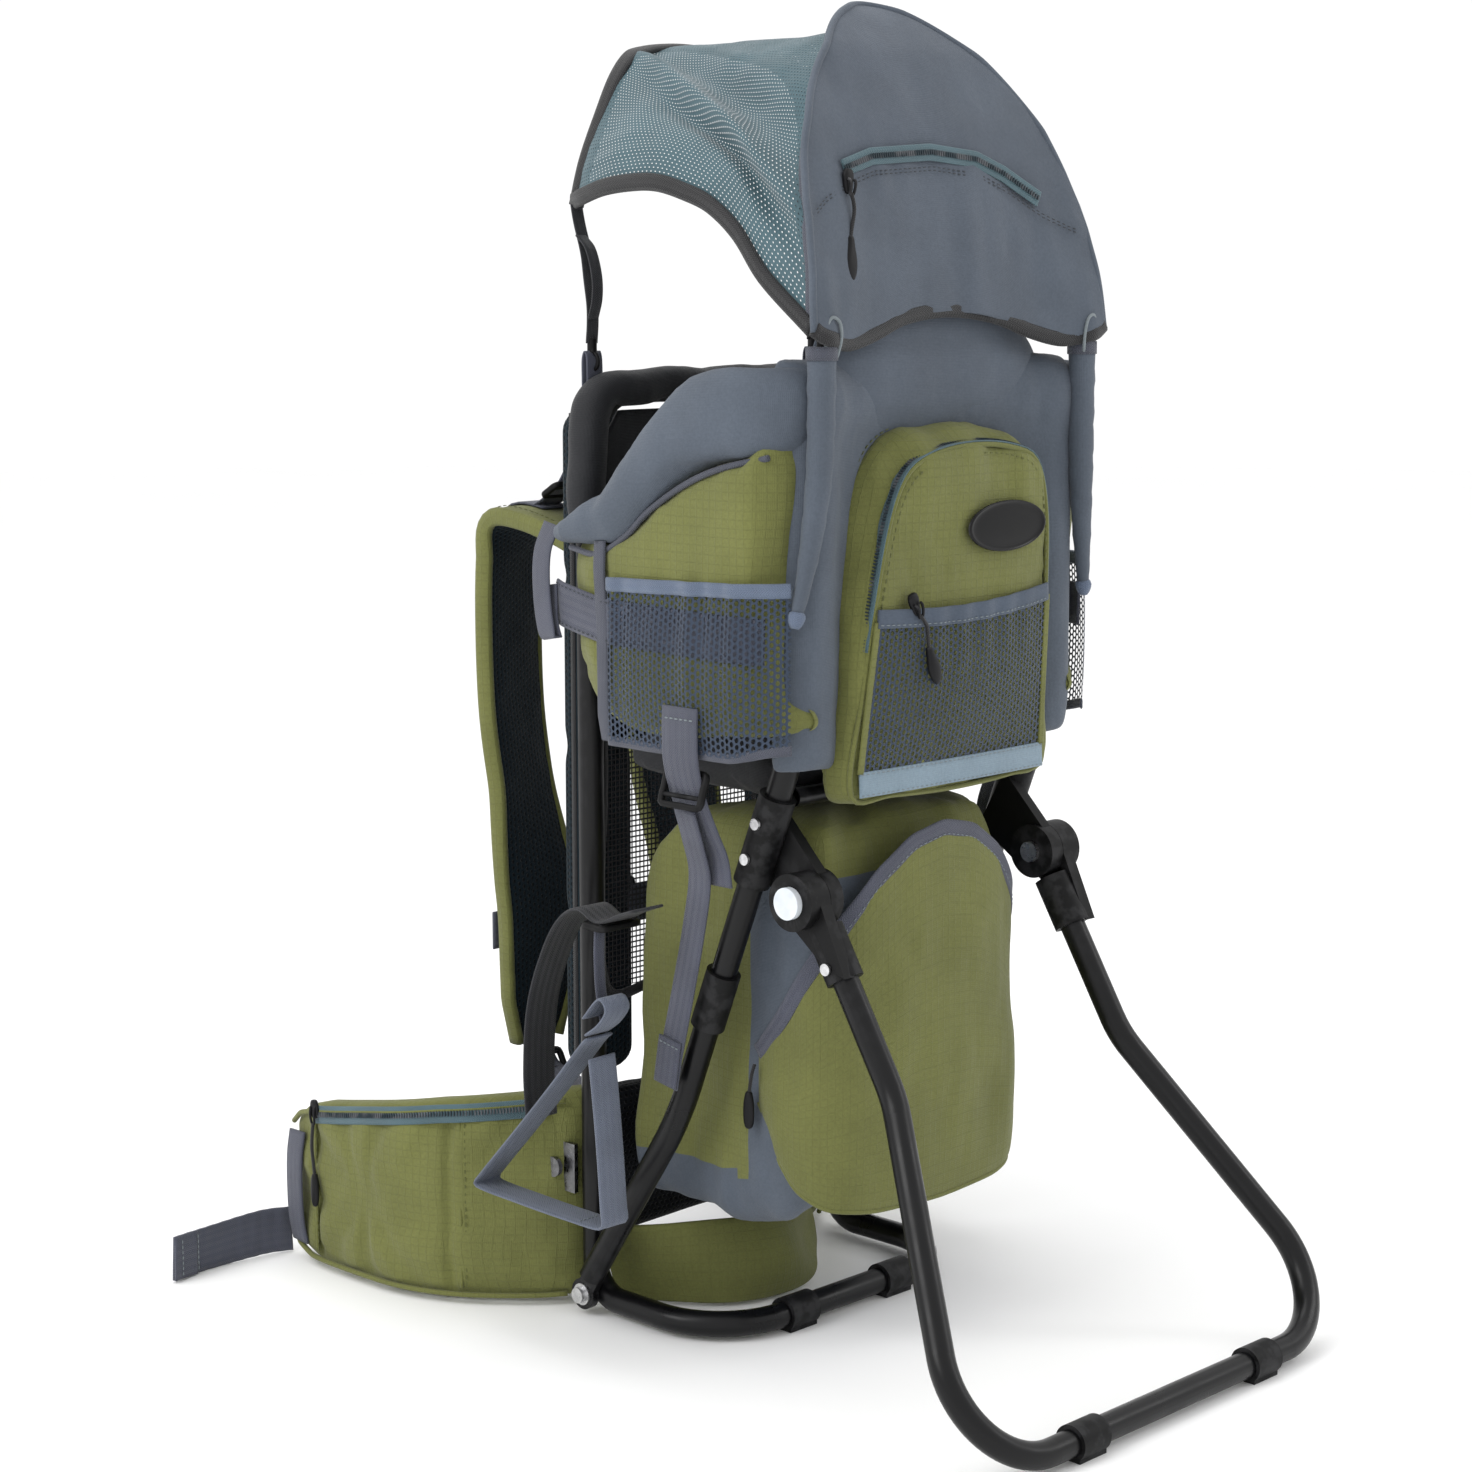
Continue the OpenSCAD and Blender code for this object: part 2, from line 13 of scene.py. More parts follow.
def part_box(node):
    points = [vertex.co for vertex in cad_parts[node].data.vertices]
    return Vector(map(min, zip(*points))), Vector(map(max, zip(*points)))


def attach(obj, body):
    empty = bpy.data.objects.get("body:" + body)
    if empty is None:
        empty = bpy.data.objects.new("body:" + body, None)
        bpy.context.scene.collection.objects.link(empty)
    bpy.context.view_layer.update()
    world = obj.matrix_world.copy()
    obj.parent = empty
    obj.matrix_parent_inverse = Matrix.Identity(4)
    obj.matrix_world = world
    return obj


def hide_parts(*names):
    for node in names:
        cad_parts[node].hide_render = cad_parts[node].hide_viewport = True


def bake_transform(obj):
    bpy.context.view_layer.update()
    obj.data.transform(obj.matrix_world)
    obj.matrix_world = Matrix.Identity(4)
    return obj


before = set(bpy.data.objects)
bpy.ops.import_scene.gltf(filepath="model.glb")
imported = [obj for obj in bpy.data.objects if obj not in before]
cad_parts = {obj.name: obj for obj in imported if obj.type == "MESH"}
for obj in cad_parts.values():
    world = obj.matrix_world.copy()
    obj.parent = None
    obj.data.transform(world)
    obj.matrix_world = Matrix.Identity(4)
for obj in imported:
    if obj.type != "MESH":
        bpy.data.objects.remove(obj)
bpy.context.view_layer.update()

MM = 0.001
LEFT, RIGHT = -1, 1
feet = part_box("front_foot_clips")
BAR_Y = (feet[0][1] + feet[1][1]) / 2
scene = bpy.context.scene


def at(point):
    """A point in millimetres from the front foot bar, as metres in the row frame."""
    return Vector((point[0] * MM, point[1] * MM + BAR_Y, point[2] * MM))


# ---- camera, floor and light ----

def make_camera():
    """The camera solved from the photograph."""
    data = bpy.data.cameras.new("camera")
    data.lens = 72.0
    data.sensor_width = 36.0
    data.clip_end = 60.0
    camera = bpy.data.objects.new("camera", data)
    camera.location = at((-1337.68, -1213.16, 645.32))
    yaw, pitch = math.radians(44.399), math.radians(-8.681)
    forward = Vector((math.cos(pitch) * math.cos(yaw), math.cos(pitch) * math.sin(yaw),
                      math.sin(pitch)))
    camera.rotation_euler = forward.to_track_quat("-Z", "Y").to_euler()
    scene.collection.objects.link(camera)
    scene.camera = camera


def make_light(name, place, target, size, power, tint=(1, 1, 1)):
    """A soft rectangular lamp aimed at a point."""
    data = bpy.data.lights.new(name, "AREA")
    data.shape = "RECTANGLE"
    data.size, data.size_y = size
    data.energy = power
    data.color = tint
    light = bpy.data.objects.new(name, data)
    light.location = place
    aim = Vector(target) - Vector(place)
    light.rotation_euler = aim.to_track_quat("-Z", "Y").to_euler()
    scene.collection.objects.link(light)


def make_stage():
    """White surroundings and three soft lamps; the key is on the near side, as in the photograph."""
    world = bpy.data.worlds.new("studio")
    world.use_nodes = True
    world.node_tree.nodes["Background"].inputs["Color"].default_value = (1, 1, 1, 1)
    world.node_tree.nodes["Background"].inputs["Strength"].default_value = 1.03
    scene.world = world
    scene.view_settings.view_transform = "Standard"
    make_light("key", (-2.3, 0.5, 2.1), (0, 0, 0.4), (1.6, 1.6), 34)
    make_light("top", (0.2, 0.6, 2.9), (0, 0, 0.4), (1.4, 1.4), 12)
    make_light("edge", (1.7, -1.6, 1.7), (0, 0, 0.4), (0.5, 1.4), 8)


# ---- geometry helpers ----

def spline(points, count, closed=False):
    """count points, evenly spaced, along a smooth curve through the given points."""
    p = np.asarray(points, float)
    if closed:
        p = np.vstack([p[-1:], p, p[:2]])
    t = np.concatenate([[0], np.cumsum(np.sqrt(np.linalg.norm(np.diff(p, axis=0), axis=1)) + 1e-9)])
    slope = np.empty_like(p)
    slope[1:-1] = (p[2:] - p[:-2]) / (t[2:] - t[:-2])[:, None]
    slope[0] = (p[1] - p[0]) / (t[1] - t[0])
    slope[-1] = (p[-1] - p[-2]) / (t[-1] - t[-2])
    lo, hi = (1, len(p) - 2) if closed else (0, len(p) - 1)
    fine = []
    for i in range(lo, hi):
        h = t[i + 1] - t[i]
        s = np.linspace(0, 1, 24, endpoint=False)[:, None]
        fine.append((2 * s**3 - 3 * s**2 + 1) * p[i] + (s**3 - 2 * s**2 + s) * h * slope[i]
                    + (3 * s**2 - 2 * s**3) * p[i + 1] + (s**3 - s**2) * h * slope[i + 1])
    fine.append(p[hi:hi + 1])
    fine = np.vstack(fine)
    run = np.concatenate([[0], np.cumsum(np.linalg.norm(np.diff(fine, axis=0), axis=1))])
    want = np.linspace(0, run[-1], count + 1 if closed else count)
    if closed:
        want = want[:-1]
    return np.stack([np.interp(want, run, fine[:, k]) for k in range(fine.shape[1])], 1)


def lengths(path):
    """Distance along a path at each of its points."""
    return np.concatenate([[0], np.cumsum(np.linalg.norm(np.diff(path, axis=0), axis=1))])


def unit(v):
    return v / np.maximum(np.linalg.norm(v, axis=-1, keepdims=True), 1e-9)


def smoothstep(a, b, x):
    s = np.clip((x - a) / (b - a), 0, 1)
    return s * s * (3 - 2 * s)


def lattice_noise(p, seed):
    """Smooth value noise from -1 to 1 at the points p, the same on every run."""
    cell = np.floor(p).astype(np.int64)
    f = p - cell
    f = f * f * (3 - 2 * f)
    total = np.zeros(len(p))
    for corner in range(8):
        d = np.array([corner & 1, corner >> 1 & 1, corner >> 2 & 1])
        c = cell + d
        h = (c[:, 0] * 73856093) ^ (c[:, 1] * 19349663) ^ (c[:, 2] * 83492791) ^ (seed * 2654435)
        h = (h ^ (h >> 13)) * 1274126177 & 0x7FFFFFFF
        h = (h ^ (h >> 16)) % 65536 / 32767.5 - 1
        total += h * np.prod(np.where(d, f, 1 - f), axis=1)
    return total


def noise(p, scale, seed, octaves=2):
    """Layered noise; scale is the size of its features in millimetres."""
    p = np.asarray(p, float) / scale
    out, amount = np.zeros(len(p)), 1.0
    for k in range(octaves):
        out += amount * lattice_noise(p * 2**k + 17.3 * k, seed + k)
        amount *= 0.5
    return out


def make_object(name, verts, faces, material, uv=None, per_loop=False, smooth=True):
    """A mesh piece from points in millimetres. uv is in metres, one a point or one a face corner."""
    v = np.asarray(verts, float) * MM
    v[:, 1] += BAR_Y
    mesh = bpy.data.meshes.new(name)
    mesh.from_pydata(v.tolist(), [], [tuple(int(i) for i in f) for f in faces])
    layer = mesh.uv_layers.new(name="UVMap")
    if uv is not None:
        uv = np.asarray(uv, float)
        if not per_loop:
            order = np.empty(len(mesh.loops), np.int64)
            mesh.loops.foreach_get("vertex_index", order)
            uv = uv[order]
        layer.data.foreach_set("uv", uv.ravel())
    for m in material if isinstance(material, (list, tuple)) else [material]:
        mesh.materials.append(m)
    mesh.polygons.foreach_set("use_smooth", [smooth] * len(mesh.polygons))
    mesh.update()
    ob = bpy.data.objects.new(name, mesh)
    scene.collection.objects.link(ob)
    return ob


def outward(ob):
    """Turns the faces of a closed mesh outwards."""
    bm = bmesh.new()
    bm.from_mesh(ob.data)
    bmesh.ops.recalc_face_normals(bm, faces=bm.faces)
    bm.to_mesh(ob.data)
    bm.free()
    return ob


def points_of(ob):
    """A piece's own points, in millimetres from the front foot bar."""
    v = np.empty(len(ob.data.vertices) * 3)
    ob.data.vertices.foreach_get("co", v)
    v = v.reshape(-1, 3)
    v[:, 1] -= BAR_Y
    return v / MM


def move_points(ob, points):
    v = np.asarray(points) * MM
    v[:, 1] += BAR_Y
    ob.data.vertices.foreach_set("co", v.ravel())
    ob.data.update()


def normals_of(ob):
    n = np.empty(len(ob.data.vertices) * 3)
    ob.data.vertices.foreach_get("normal", n)
    return n.reshape(-1, 3)


def push(ob, amount):
    """Moves each point along its normal by amount, in millimetres."""
    move_points(ob, points_of(ob) + normals_of(ob) * np.asarray(amount)[:, None])


def crumple(ob, amount, scale, seed, stretch=(1, 1, 1)):
    p = points_of(ob) * np.asarray(stretch)
    push(ob, amount * noise(p, scale, seed, 3))


def box_uv(ob):
    """Lays the weave on a piece from whichever axis each face looks along, in metres."""
    mesh = ob.data
    layer = mesh.uv_layers.get("UVMap") or mesh.uv_layers.new(name="UVMap")
    n = np.empty(len(mesh.polygons) * 3)
    mesh.polygons.foreach_get("normal", n)
    n = np.abs(n.reshape(-1, 3))
    size = np.empty(len(mesh.polygons), np.int64)
    mesh.polygons.foreach_get("loop_total", size)
    axis = np.repeat(np.argmax(n * (1.0, 1.0, 0.8), axis=1), size)
    order = np.empty(len(mesh.loops), np.int64)
    mesh.loops.foreach_get("vertex_index", order)
    co = np.empty(len(mesh.vertices) * 3)
    mesh.vertices.foreach_get("co", co)
    co = co.reshape(-1, 3)[order]
    u = np.where(axis == 0, co[:, 1], co[:, 0])
    v = np.where(axis == 2, co[:, 1], co[:, 2])
    layer.data.foreach_set("uv", np.stack([u, v], 1).ravel())


def subdivide(ob, levels=1):
    mod = ob.modifiers.new("smooth", "SUBSURF")
    mod.levels = mod.render_levels = levels
    return ob


def thicken(ob, mm, offset=0.0):
    mod = ob.modifiers.new("cloth", "SOLIDIFY")
    mod.thickness = mm * MM
    mod.offset = offset
    mod.use_rim = True
    return ob


def grid(name, rows, material, closed=False, caps=False, uv=None):
    """A mesh through a grid of points, rows x columns x 3. closed joins the last column to the first."""
    rows = np.asarray(rows, float)
    n, m = rows.shape[:2]
    cols = m if closed else m - 1
    along = np.linalg.norm(np.diff(rows, axis=0), axis=2).mean(axis=1)
    u = np.concatenate([[0], np.cumsum(along)]) * MM
    wrap = np.concatenate([rows, rows[:, :1]], axis=1) if closed else rows
    v = np.concatenate([[0], np.cumsum(np.linalg.norm(np.diff(wrap, axis=1), axis=2).mean(axis=0))]) * MM
    faces, coords = [], []
    for i in range(n - 1):
        for j in range(cols):
            k = (j + 1) % m
            faces.append((i * m + j, (i + 1) * m + j, (i + 1) * m + k, i * m + k))
            coords += [(u[i], v[j]), (u[i + 1], v[j]), (u[i + 1], v[j + 1]), (u[i], v[j + 1])]
    if caps:
        for i, side in ((0, 1), (n - 1, -1)):
            ring = [i * m + j for j in range(m)][::side]
            faces.append(ring)
            flat = wrap[i][:m][::side]
            coords += [(q[0] * MM, q[2] * MM) for q in flat]
    return make_object(name, rows.reshape(-1, 3), faces, material, coords, per_loop=True)


def sweep(name, path, section, side, material, caps=True, closed=False):
    """A section of (across, out) points carried along a path. side is the direction of across."""
    path = np.asarray(path, float)
    if closed:
        t = unit(np.roll(path, -1, axis=0) - np.roll(path, 1, axis=0))
    else:
        t = unit(np.gradient(path, axis=0))
    a = np.broadcast_to(np.asarray(side, float), path.shape)
    a = unit(a - (a * t).sum(1, keepdims=True) * t)
    b = np.cross(t, a)
    section = np.asarray(section, float)
    if section.ndim == 2:
        section = np.broadcast_to(section, (len(path),) + section.shape)
    rows = (path[:, None] + section[:, :, :1] * a[:, None] + section[:, :, 1:] * b[:, None])
    if closed:
        rows = np.concatenate([rows, rows[:1]], axis=0)
        ob = grid(name, rows, material, closed=True)
        bm = bmesh.new()
        bm.from_mesh(ob.data)
        bmesh.ops.remove_doubles(bm, verts=bm.verts, dist=1e-6)
        bm.to_mesh(ob.data)
        bm.free()
        return outward(ob)
    return outward(grid(name, rows, material, closed=True, caps=caps))


def oval(width, thick, count=12, power=2.0):
    a = np.linspace(0, 2 * np.pi, count, endpoint=False)
    c, s = np.cos(a), np.sin(a)
    return np.stack([np.sign(c) * np.abs(c) ** (2 / power) * width / 2,
                     np.sign(s) * np.abs(s) ** (2 / power) * thick / 2], 1)


def tape(width, thick):
    """Section of a flat woven band with rounded edges and enough points across to lie well."""
    w, t = width / 2, thick / 2
    xs = np.array([-w, -w + t, -w / 3, w / 3, w - t, w])
    ys = np.array([0.45, 1, 1, 1, 1, 0.45]) * t
    return np.concatenate([np.stack([xs, ys], 1), np.stack([xs[::-1], -ys[::-1]], 1)])


def join(name, parts):
    """One piece from several, keeping their material slots."""
    bm_parts = [p for p in parts if p is not None]
    bpy.ops.object.select_all(action="DESELECT")
    for p in bm_parts:
        p.select_set(True)
    bpy.context.view_layer.objects.active = bm_parts[0]
    bpy.ops.object.join()
    ob = bpy.context.view_layer.objects.active
    ob.name = ob.data.name = name
    return ob


def mirror(ob, name):
    """The same piece for the other side."""
    mesh = ob.data.copy()
    new = bpy.data.objects.new(name, mesh)
    mesh.name = name
    v = points_of(new)
    v[:, 0] *= -1
    move_points(new, v)
    mesh.flip_normals()
    for mod in ob.modifiers:
        copy = new.modifiers.new(mod.name, mod.type)
        for key in ("levels", "render_levels", "thickness", "offset", "width", "segments",
                    "limit_method", "angle_limit"):
            if hasattr(mod, key):
                setattr(copy, key, getattr(mod, key))
    scene.collection.objects.link(new)
    return new


def stitches(name, path, out, material, dash=3.0, gap=2.0, width=0.9, height=0.5):
    """A row of thread stitches along a path; out is the direction that the cloth faces."""
    path = np.asarray(path, float)
    run = lengths(path)
    out = np.broadcast_to(np.asarray(out, float), path.shape)
    starts = np.arange(0.5 * gap, run[-1] - dash, dash + gap)
    verts, faces = [], []
    for s in starts:
        ends = [np.array([np.interp(q, run, path[:, k]) for k in range(3)]) for q in (s, s + dash)]
        o = unit(np.array([np.interp(s, run, out[:, k]) for k in range(3)]))
        t = unit(ends[1] - ends[0])
        a = np.cross(o, t)
        base = len(verts)
        mid = (ends[0] + ends[1]) / 2 + o * height
        for e, f in ((ends[0], -1), (ends[1], 1)):
            verts += [e - a * width * 0.35, e + a * width * 0.35]
        verts += [mid - a * width / 2 - t * dash * 0.3, mid + a * width / 2 - t * dash * 0.3,
                  mid - a * width / 2 + t * dash * 0.3, mid + a * width / 2 + t * dash * 0.3]
        q = [base + k for k in range(8)]
        faces += [(q[4], q[6], q[7], q[5]), (q[0], q[4], q[5], q[1]), (q[6], q[2], q[3], q[7]),
                  (q[0], q[2], q[6], q[4]), (q[1], q[5], q[7], q[3]), (q[0], q[1], q[3], q[2])]
    uv = [(v[0] * MM, v[2] * MM) for v in verts]
    return make_object(name, verts, faces, material, uv, smooth=False)


def inflate(ob, voxel=5.0, pressure=4.0, cap=8.0, frames=20, shrink=0.0):
    """Swells a closed shape as stuffed cloth: remesh, simulate, then limit how far a point moved."""
    mod = ob.modifiers.new("remesh", "REMESH")
    mod.mode = "VOXEL"
    mod.voxel_size = voxel * MM
    mod.use_smooth_shade = True
    apply_all(ob)
    start = points_of(ob)
    if shrink:
        push(ob, np.full(len(start), -shrink))
        start = points_of(ob)
    cloth = ob.modifiers.new("cloth", "CLOTH")
    s = cloth.settings
    s.quality = 4
    s.mass = 0.25
    s.tension_stiffness = s.compression_stiffness = 18
    s.shear_stiffness = 8
    s.bending_stiffness = 0.4
    s.use_pressure = True
    s.uniform_pressure_force = pressure
    s.effector_weights.gravity = 0
    cloth.collision_settings.use_collision = False
    for f in range(1, frames + 1):
        scene.frame_set(f)
    deps = bpy.context.evaluated_depsgraph_get()
    moved = ob.evaluated_get(deps)
    v = np.empty(len(start) * 3)
    moved.data.vertices.foreach_get("co", v)
    ob.modifiers.remove(cloth)
    scene.frame_set(1)
    v = v.reshape(-1, 3)
    v[:, 1] -= BAR_Y
    step = v / MM - start
    size = np.linalg.norm(step, axis=1, keepdims=True)
    step *= np.where(size > cap, cap / np.maximum(size, 1e-9), 1.0)
    move_points(ob, start + step)
    return ob


def apply_all(ob):
    """Makes a piece's modifiers part of its mesh."""
    deps = bpy.context.evaluated_depsgraph_get()
    mesh = bpy.data.meshes.new_from_object(ob.evaluated_get(deps))
    old = ob.data
    ob.modifiers.clear()
    ob.data = mesh
    mesh.name = ob.name
    bpy.data.meshes.remove(old)
    for p in mesh.polygons:
        p.use_smooth = True


# ---- materials ----

def srgb(r, g, b):
    """A colour from 0 to 255 as the linear values that a shader takes."""
    def line(c):
        c /= 255
        return c / 12.92 if c <= 0.04045 else ((c + 0.055) / 1.055) ** 2.4
    return (line(r), line(g), line(b), 1.0)


class Shader:
    """A material being built from nodes."""

    def __init__(self, name, colour, rough, sheen=0.0, metal=0.0, coat=0.0, specular=0.5):
        self.material = bpy.data.materials.new(name)
        self.material.use_nodes = True
        self.tree = self.material.node_tree
        self.bsdf = self.tree.nodes["Principled BSDF"]
        self.colour = colour
        self.set("Base Color", colour)
        self.set("Roughness", rough)
        self.set("Metallic", metal)
        self.set("Specular IOR Level", specular)
        self.set("Sheen Weight", sheen)
        self.set("Sheen Roughness", 0.45)
        self.set("Coat Weight", coat)
        self.set("Coat Roughness", 0.25)
        self.height = None

    def set(self, socket, value):
        self.bsdf.inputs[socket].default_value = value

    def node(self, kind, inputs=(), **props):
        n = self.tree.nodes.new(kind)
        for key, value in props.items():
            setattr(n, key, value)
        for key, value in dict(inputs).items():
            if isinstance(value, bpy.types.NodeSocket):
                self.tree.links.new(value, n.inputs[key])
            else:
                n.inputs[key].default_value = value
        return n

    def math(self, op, a, b=0.0, c=0.0, clamp=False):
        return self.node("ShaderNodeMath", {0: a, 1: b, 2: c}, operation=op, use_clamp=clamp).outputs[0]

    def ramp(self, value, low, high, to_low=0.0, to_high=1.0):
        n = self.node("ShaderNodeMapRange", {"Value": value, "From Min": low, "From Max": high,
                                             "To Min": to_low, "To Max": to_high},
                      interpolation_type="SMOOTHSTEP")
        return n.outputs[0]

    def mix(self, share, a, b):
        n = self.node("ShaderNodeMix", data_type="RGBA")
        for socket, value in ((n.inputs[0], share), (n.inputs[6], a), (n.inputs[7], b)):
            if isinstance(value, bpy.types.NodeSocket):
                self.tree.links.new(value, socket)
            else:
                socket.default_value = value
        return n.outputs[2]

    def cloth_axes(self):
        """Distances along and across the weave, in millimetres."""
        uv = self.node("ShaderNodeUVMap", uv_map="UVMap")
        split = self.node("ShaderNodeSeparateXYZ", {0: uv.outputs[0]})
        return (self.math("MULTIPLY", split.outputs[0], 1000.0),
                self.math("MULTIPLY", split.outputs[1], 1000.0))

    def blotches(self, size, detail=3.0):
        """Smooth noise fixed to the piece, with features of about size millimetres."""
        where = self.node("ShaderNodeTexCoord")
        return self.node("ShaderNodeTexNoise", {"Vector": where.outputs["Object"],
                                                "Scale": 1000.0 / size, "Detail": detail}).outputs[0]

    def wave(self, value, period, power=1.0):
        """0 to 1 ridges across value."""
        s = self.math("SINE", self.math("MULTIPLY", value, 2 * math.pi / period))
        return self.math("MULTIPLY_ADD", s, 0.5, 0.5)

    def line(self, value, period, width):
        """1 on thin lines that repeat every period, 0 between them."""
        p = self.math("PINGPONG", value, period / 2)
        return self.ramp(p, width * 0.35, width * 0.75, 1.0, 0.0)

    def raise_by(self, value, amount):
        part = self.math("MULTIPLY", value, amount)
        self.height = part if self.height is None else self.math("ADD", self.height, part)

    def shade(self, value, colour, share=1.0):
        """Blends the colour so far towards another where value is high."""
        if share != 1.0:
            value = self.math("MULTIPLY", value, share)
        self.colour = self.mix(value, self.colour, colour)

    def tone(self, value, low, high):
        """Makes the colour so far darker or lighter by value, from factor low to high."""
        factor = self.ramp(value, 0.3, 0.7, low, high)
        n = self.node("ShaderNodeVectorMath", {0: self.colour if isinstance(
            self.colour, bpy.types.NodeSocket) else self.colour[:3]}, operation="SCALE")
        self.tree.links.new(factor, n.inputs["Scale"])
        self.colour = n.outputs[0]

    def worn_and_glinting_edges(self, colour, share=0.5):
        # Paler colour on convex edges in patches: rubbed wear on moulded plastic, and a painted highlight
        # on the powder coat.
        point = self.node("ShaderNodeNewGeometry").outputs["Pointiness"]
        edge = self.ramp(point, 0.53, 0.62)
        rub_and_glint = self.ramp(self.blotches(9), 0.42, 0.62)
        self.shade(self.math("MULTIPLY", edge, rub_and_glint), colour, share)

    def finish(self, bump=0.3, distance=0.0004):
        if isinstance(self.colour, bpy.types.NodeSocket):
            self.tree.links.new(self.colour, self.bsdf.inputs["Base Color"])
        if self.height is not None:
            n = self.node("ShaderNodeBump", {"Strength": bump, "Distance": distance,
                                             "Height": self.height})
            self.tree.links.new(n.outputs[0], self.bsdf.inputs["Normal"])
        return self.material


def lighter(c, f):
    return tuple(min(1.0, x * f) for x in c[:3]) + (1.0,)


def cloth(name, colour, rip=5.2, rip_show=0.14, rough=0.78, sheen=0.12, crease=1.0):
    """Plain weave nylon; with rip above 0 it has a ripstop grid of that many millimetres."""
    s = Shader(name, colour, rough, sheen=sheen, specular=0.35)
    u, v = s.cloth_axes()
    weave = s.math("MULTIPLY", s.wave(u, 0.9), s.wave(v, 0.9))
    s.raise_by(weave, 0.35)
    s.tone(s.blotches(46), 0.93, 1.07)
    s.tone(s.blotches(1.6, 2.0), 0.94, 1.06)
    if rip:
        lines = s.math("MAXIMUM", s.line(u, rip, 0.7), s.line(v, rip, 0.7))
        s.shade(lines, lighter(colour, 0.55), rip_show)
        s.raise_by(lines, 0.5)
    folds = s.blotches(15, 4.0)
    s.raise_by(folds, 2.4 * crease)
    return s.finish(0.5, 0.0011)


def net(name, colour, cell, hole, rough=0.6, tall=1.15, square=False):
    """An open net: alpha holes of that share of a cell, in offset rows or a square grid."""
    s = Shader(name, colour, rough, sheen=0.15, specular=0.3)
    u, v = s.cloth_axes()
    row = s.math("DIVIDE", v, cell * 0.87 if not square else cell)
    odd = s.math("MULTIPLY", s.math("MODULO", s.math("FLOOR", row), 2.0), 0.0 if square else 0.5)
    fu = s.math("SUBTRACT", s.math("FRACT", s.math("ADD", s.math("DIVIDE", u, cell), odd)), 0.5)
    fv = s.math("SUBTRACT", s.math("FRACT", row), 0.5)
    if square:
        far = s.math("MAXIMUM", s.math("ABSOLUTE", fu), s.math("ABSOLUTE", fv))
    else:
        far = s.math("SQRT", s.math("ADD", s.math("MULTIPLY", fu, fu),
                                    s.math("MULTIPLY", s.math("MULTIPLY", fv, fv), tall)))
    solid = s.ramp(far, hole - 0.06, hole + 0.06)
    s.raise_by(s.ramp(far, hole, 0.5), 0.6)
    s.tone(s.blotches(38), 0.93, 1.07)
    s.tree.links.new(solid, s.bsdf.inputs["Alpha"])
    return s.finish(0.5, 0.0008)


def spacer(name, colour, cell=4.2):
    """Three-layer spacer mesh: rows of small dark pits in a springy face."""
    s = Shader(name, colour, 0.75, sheen=0.06, specular=0.12)
    u, v = s.cloth_axes()
    row = s.math("DIVIDE", v, cell * 0.87)
    odd = s.math("MULTIPLY", s.math("MODULO", s.math("FLOOR", row), 2.0), 0.5)
    fu = s.math("SUBTRACT", s.math("FRACT", s.math("ADD", s.math("DIVIDE", u, cell), odd)), 0.5)
    fv = s.math("SUBTRACT", s.math("FRACT", row), 0.5)
    far = s.math("SQRT", s.math("ADD", s.math("MULTIPLY", fu, fu), s.math("MULTIPLY", fv, fv)))
    pit = s.ramp(far, 0.2, 0.36, 1.0, 0.0)
    s.shade(pit, lighter(colour, 0.22), 0.85)
    s.raise_by(pit, -1.6)
    s.tone(s.blotches(30), 0.92, 1.08)
    return s.finish(0.8, 0.0012)


def woven(name, colour, edge=0.8):
    """Ribbed polyester webbing with a fine chevron weave, its rib crests painted lighter as a painted
    highlight.
    """
    s = Shader(name, colour, 0.62, sheen=0.15, specular=0.4)
    u, v = s.cloth_axes()
    slant = s.math("PINGPONG", v, 2.6)
    ribs = s.wave(s.math("ADD", u, slant), 1.5)
    cords = s.wave(v, 1.3)
    s.raise_by(ribs, 0.8)
    s.raise_by(cords, 0.35)
    # painted highlight: each rib's crest is painted lighter than its groove
    s.shade(s.math("MULTIPLY", ribs, 1.0), lighter(colour, 1.45), 0.45)
    s.tone(s.blotches(24), 0.92, 1.08)
    return s.finish(0.7, 0.0006)


def moulded(name, colour, rough=0.48, grain=0.35, wear=(0.16, 0.16, 0.17, 1)):
    """Fine-textured injection moulded plastic, paler where edges are worn."""
    s = Shader(name, colour, rough, specular=0.17)
    s.raise_by(s.blotches(0.55, 2.0), grain)
    s.raise_by(s.blotches(7.0, 2.0), 0.12)
    s.tone(s.blotches(22), 0.9, 1.12)
    s.worn_and_glinting_edges(wear, 0.55)
    return s.finish(0.35, 0.0004)


def painted(name, colour):
    """Satin powder coat with a faint orange peel, and a painted bluish highlight in patches on its edges.
    """
    s = Shader(name, colour, 0.3, coat=0.06, specular=0.24)
    s.raise_by(s.blotches(1.1, 2.0), 0.5)
    s.raise_by(s.blotches(11.0, 2.0), 0.5)
    s.tone(s.blotches(60), 0.85, 1.15)
    rough = s.ramp(s.blotches(26), 0.3, 0.7, 0.27, 0.4)
    s.tree.links.new(rough, s.bsdf.inputs["Roughness"])
    # painted highlight: the edges are painted lighter and slightly bluish, standing in for light on the
    # tubes
    s.worn_and_glinting_edges((0.04, 0.04, 0.045, 1), 0.3)
    return s.finish(0.16, 0.0003)


def metal(name, colour):
    s = Shader(name, colour, 0.3, metal=1.0)
    s.raise_by(s.blotches(0.8, 2.0), 0.4)
    rough = s.ramp(s.blotches(4), 0.3, 0.7, 0.22, 0.42)
    s.tree.links.new(rough, s.bsdf.inputs["Roughness"])
    s.tone(s.blotches(3), 0.85, 1.1)
    return s.finish(0.2, 0.0003)


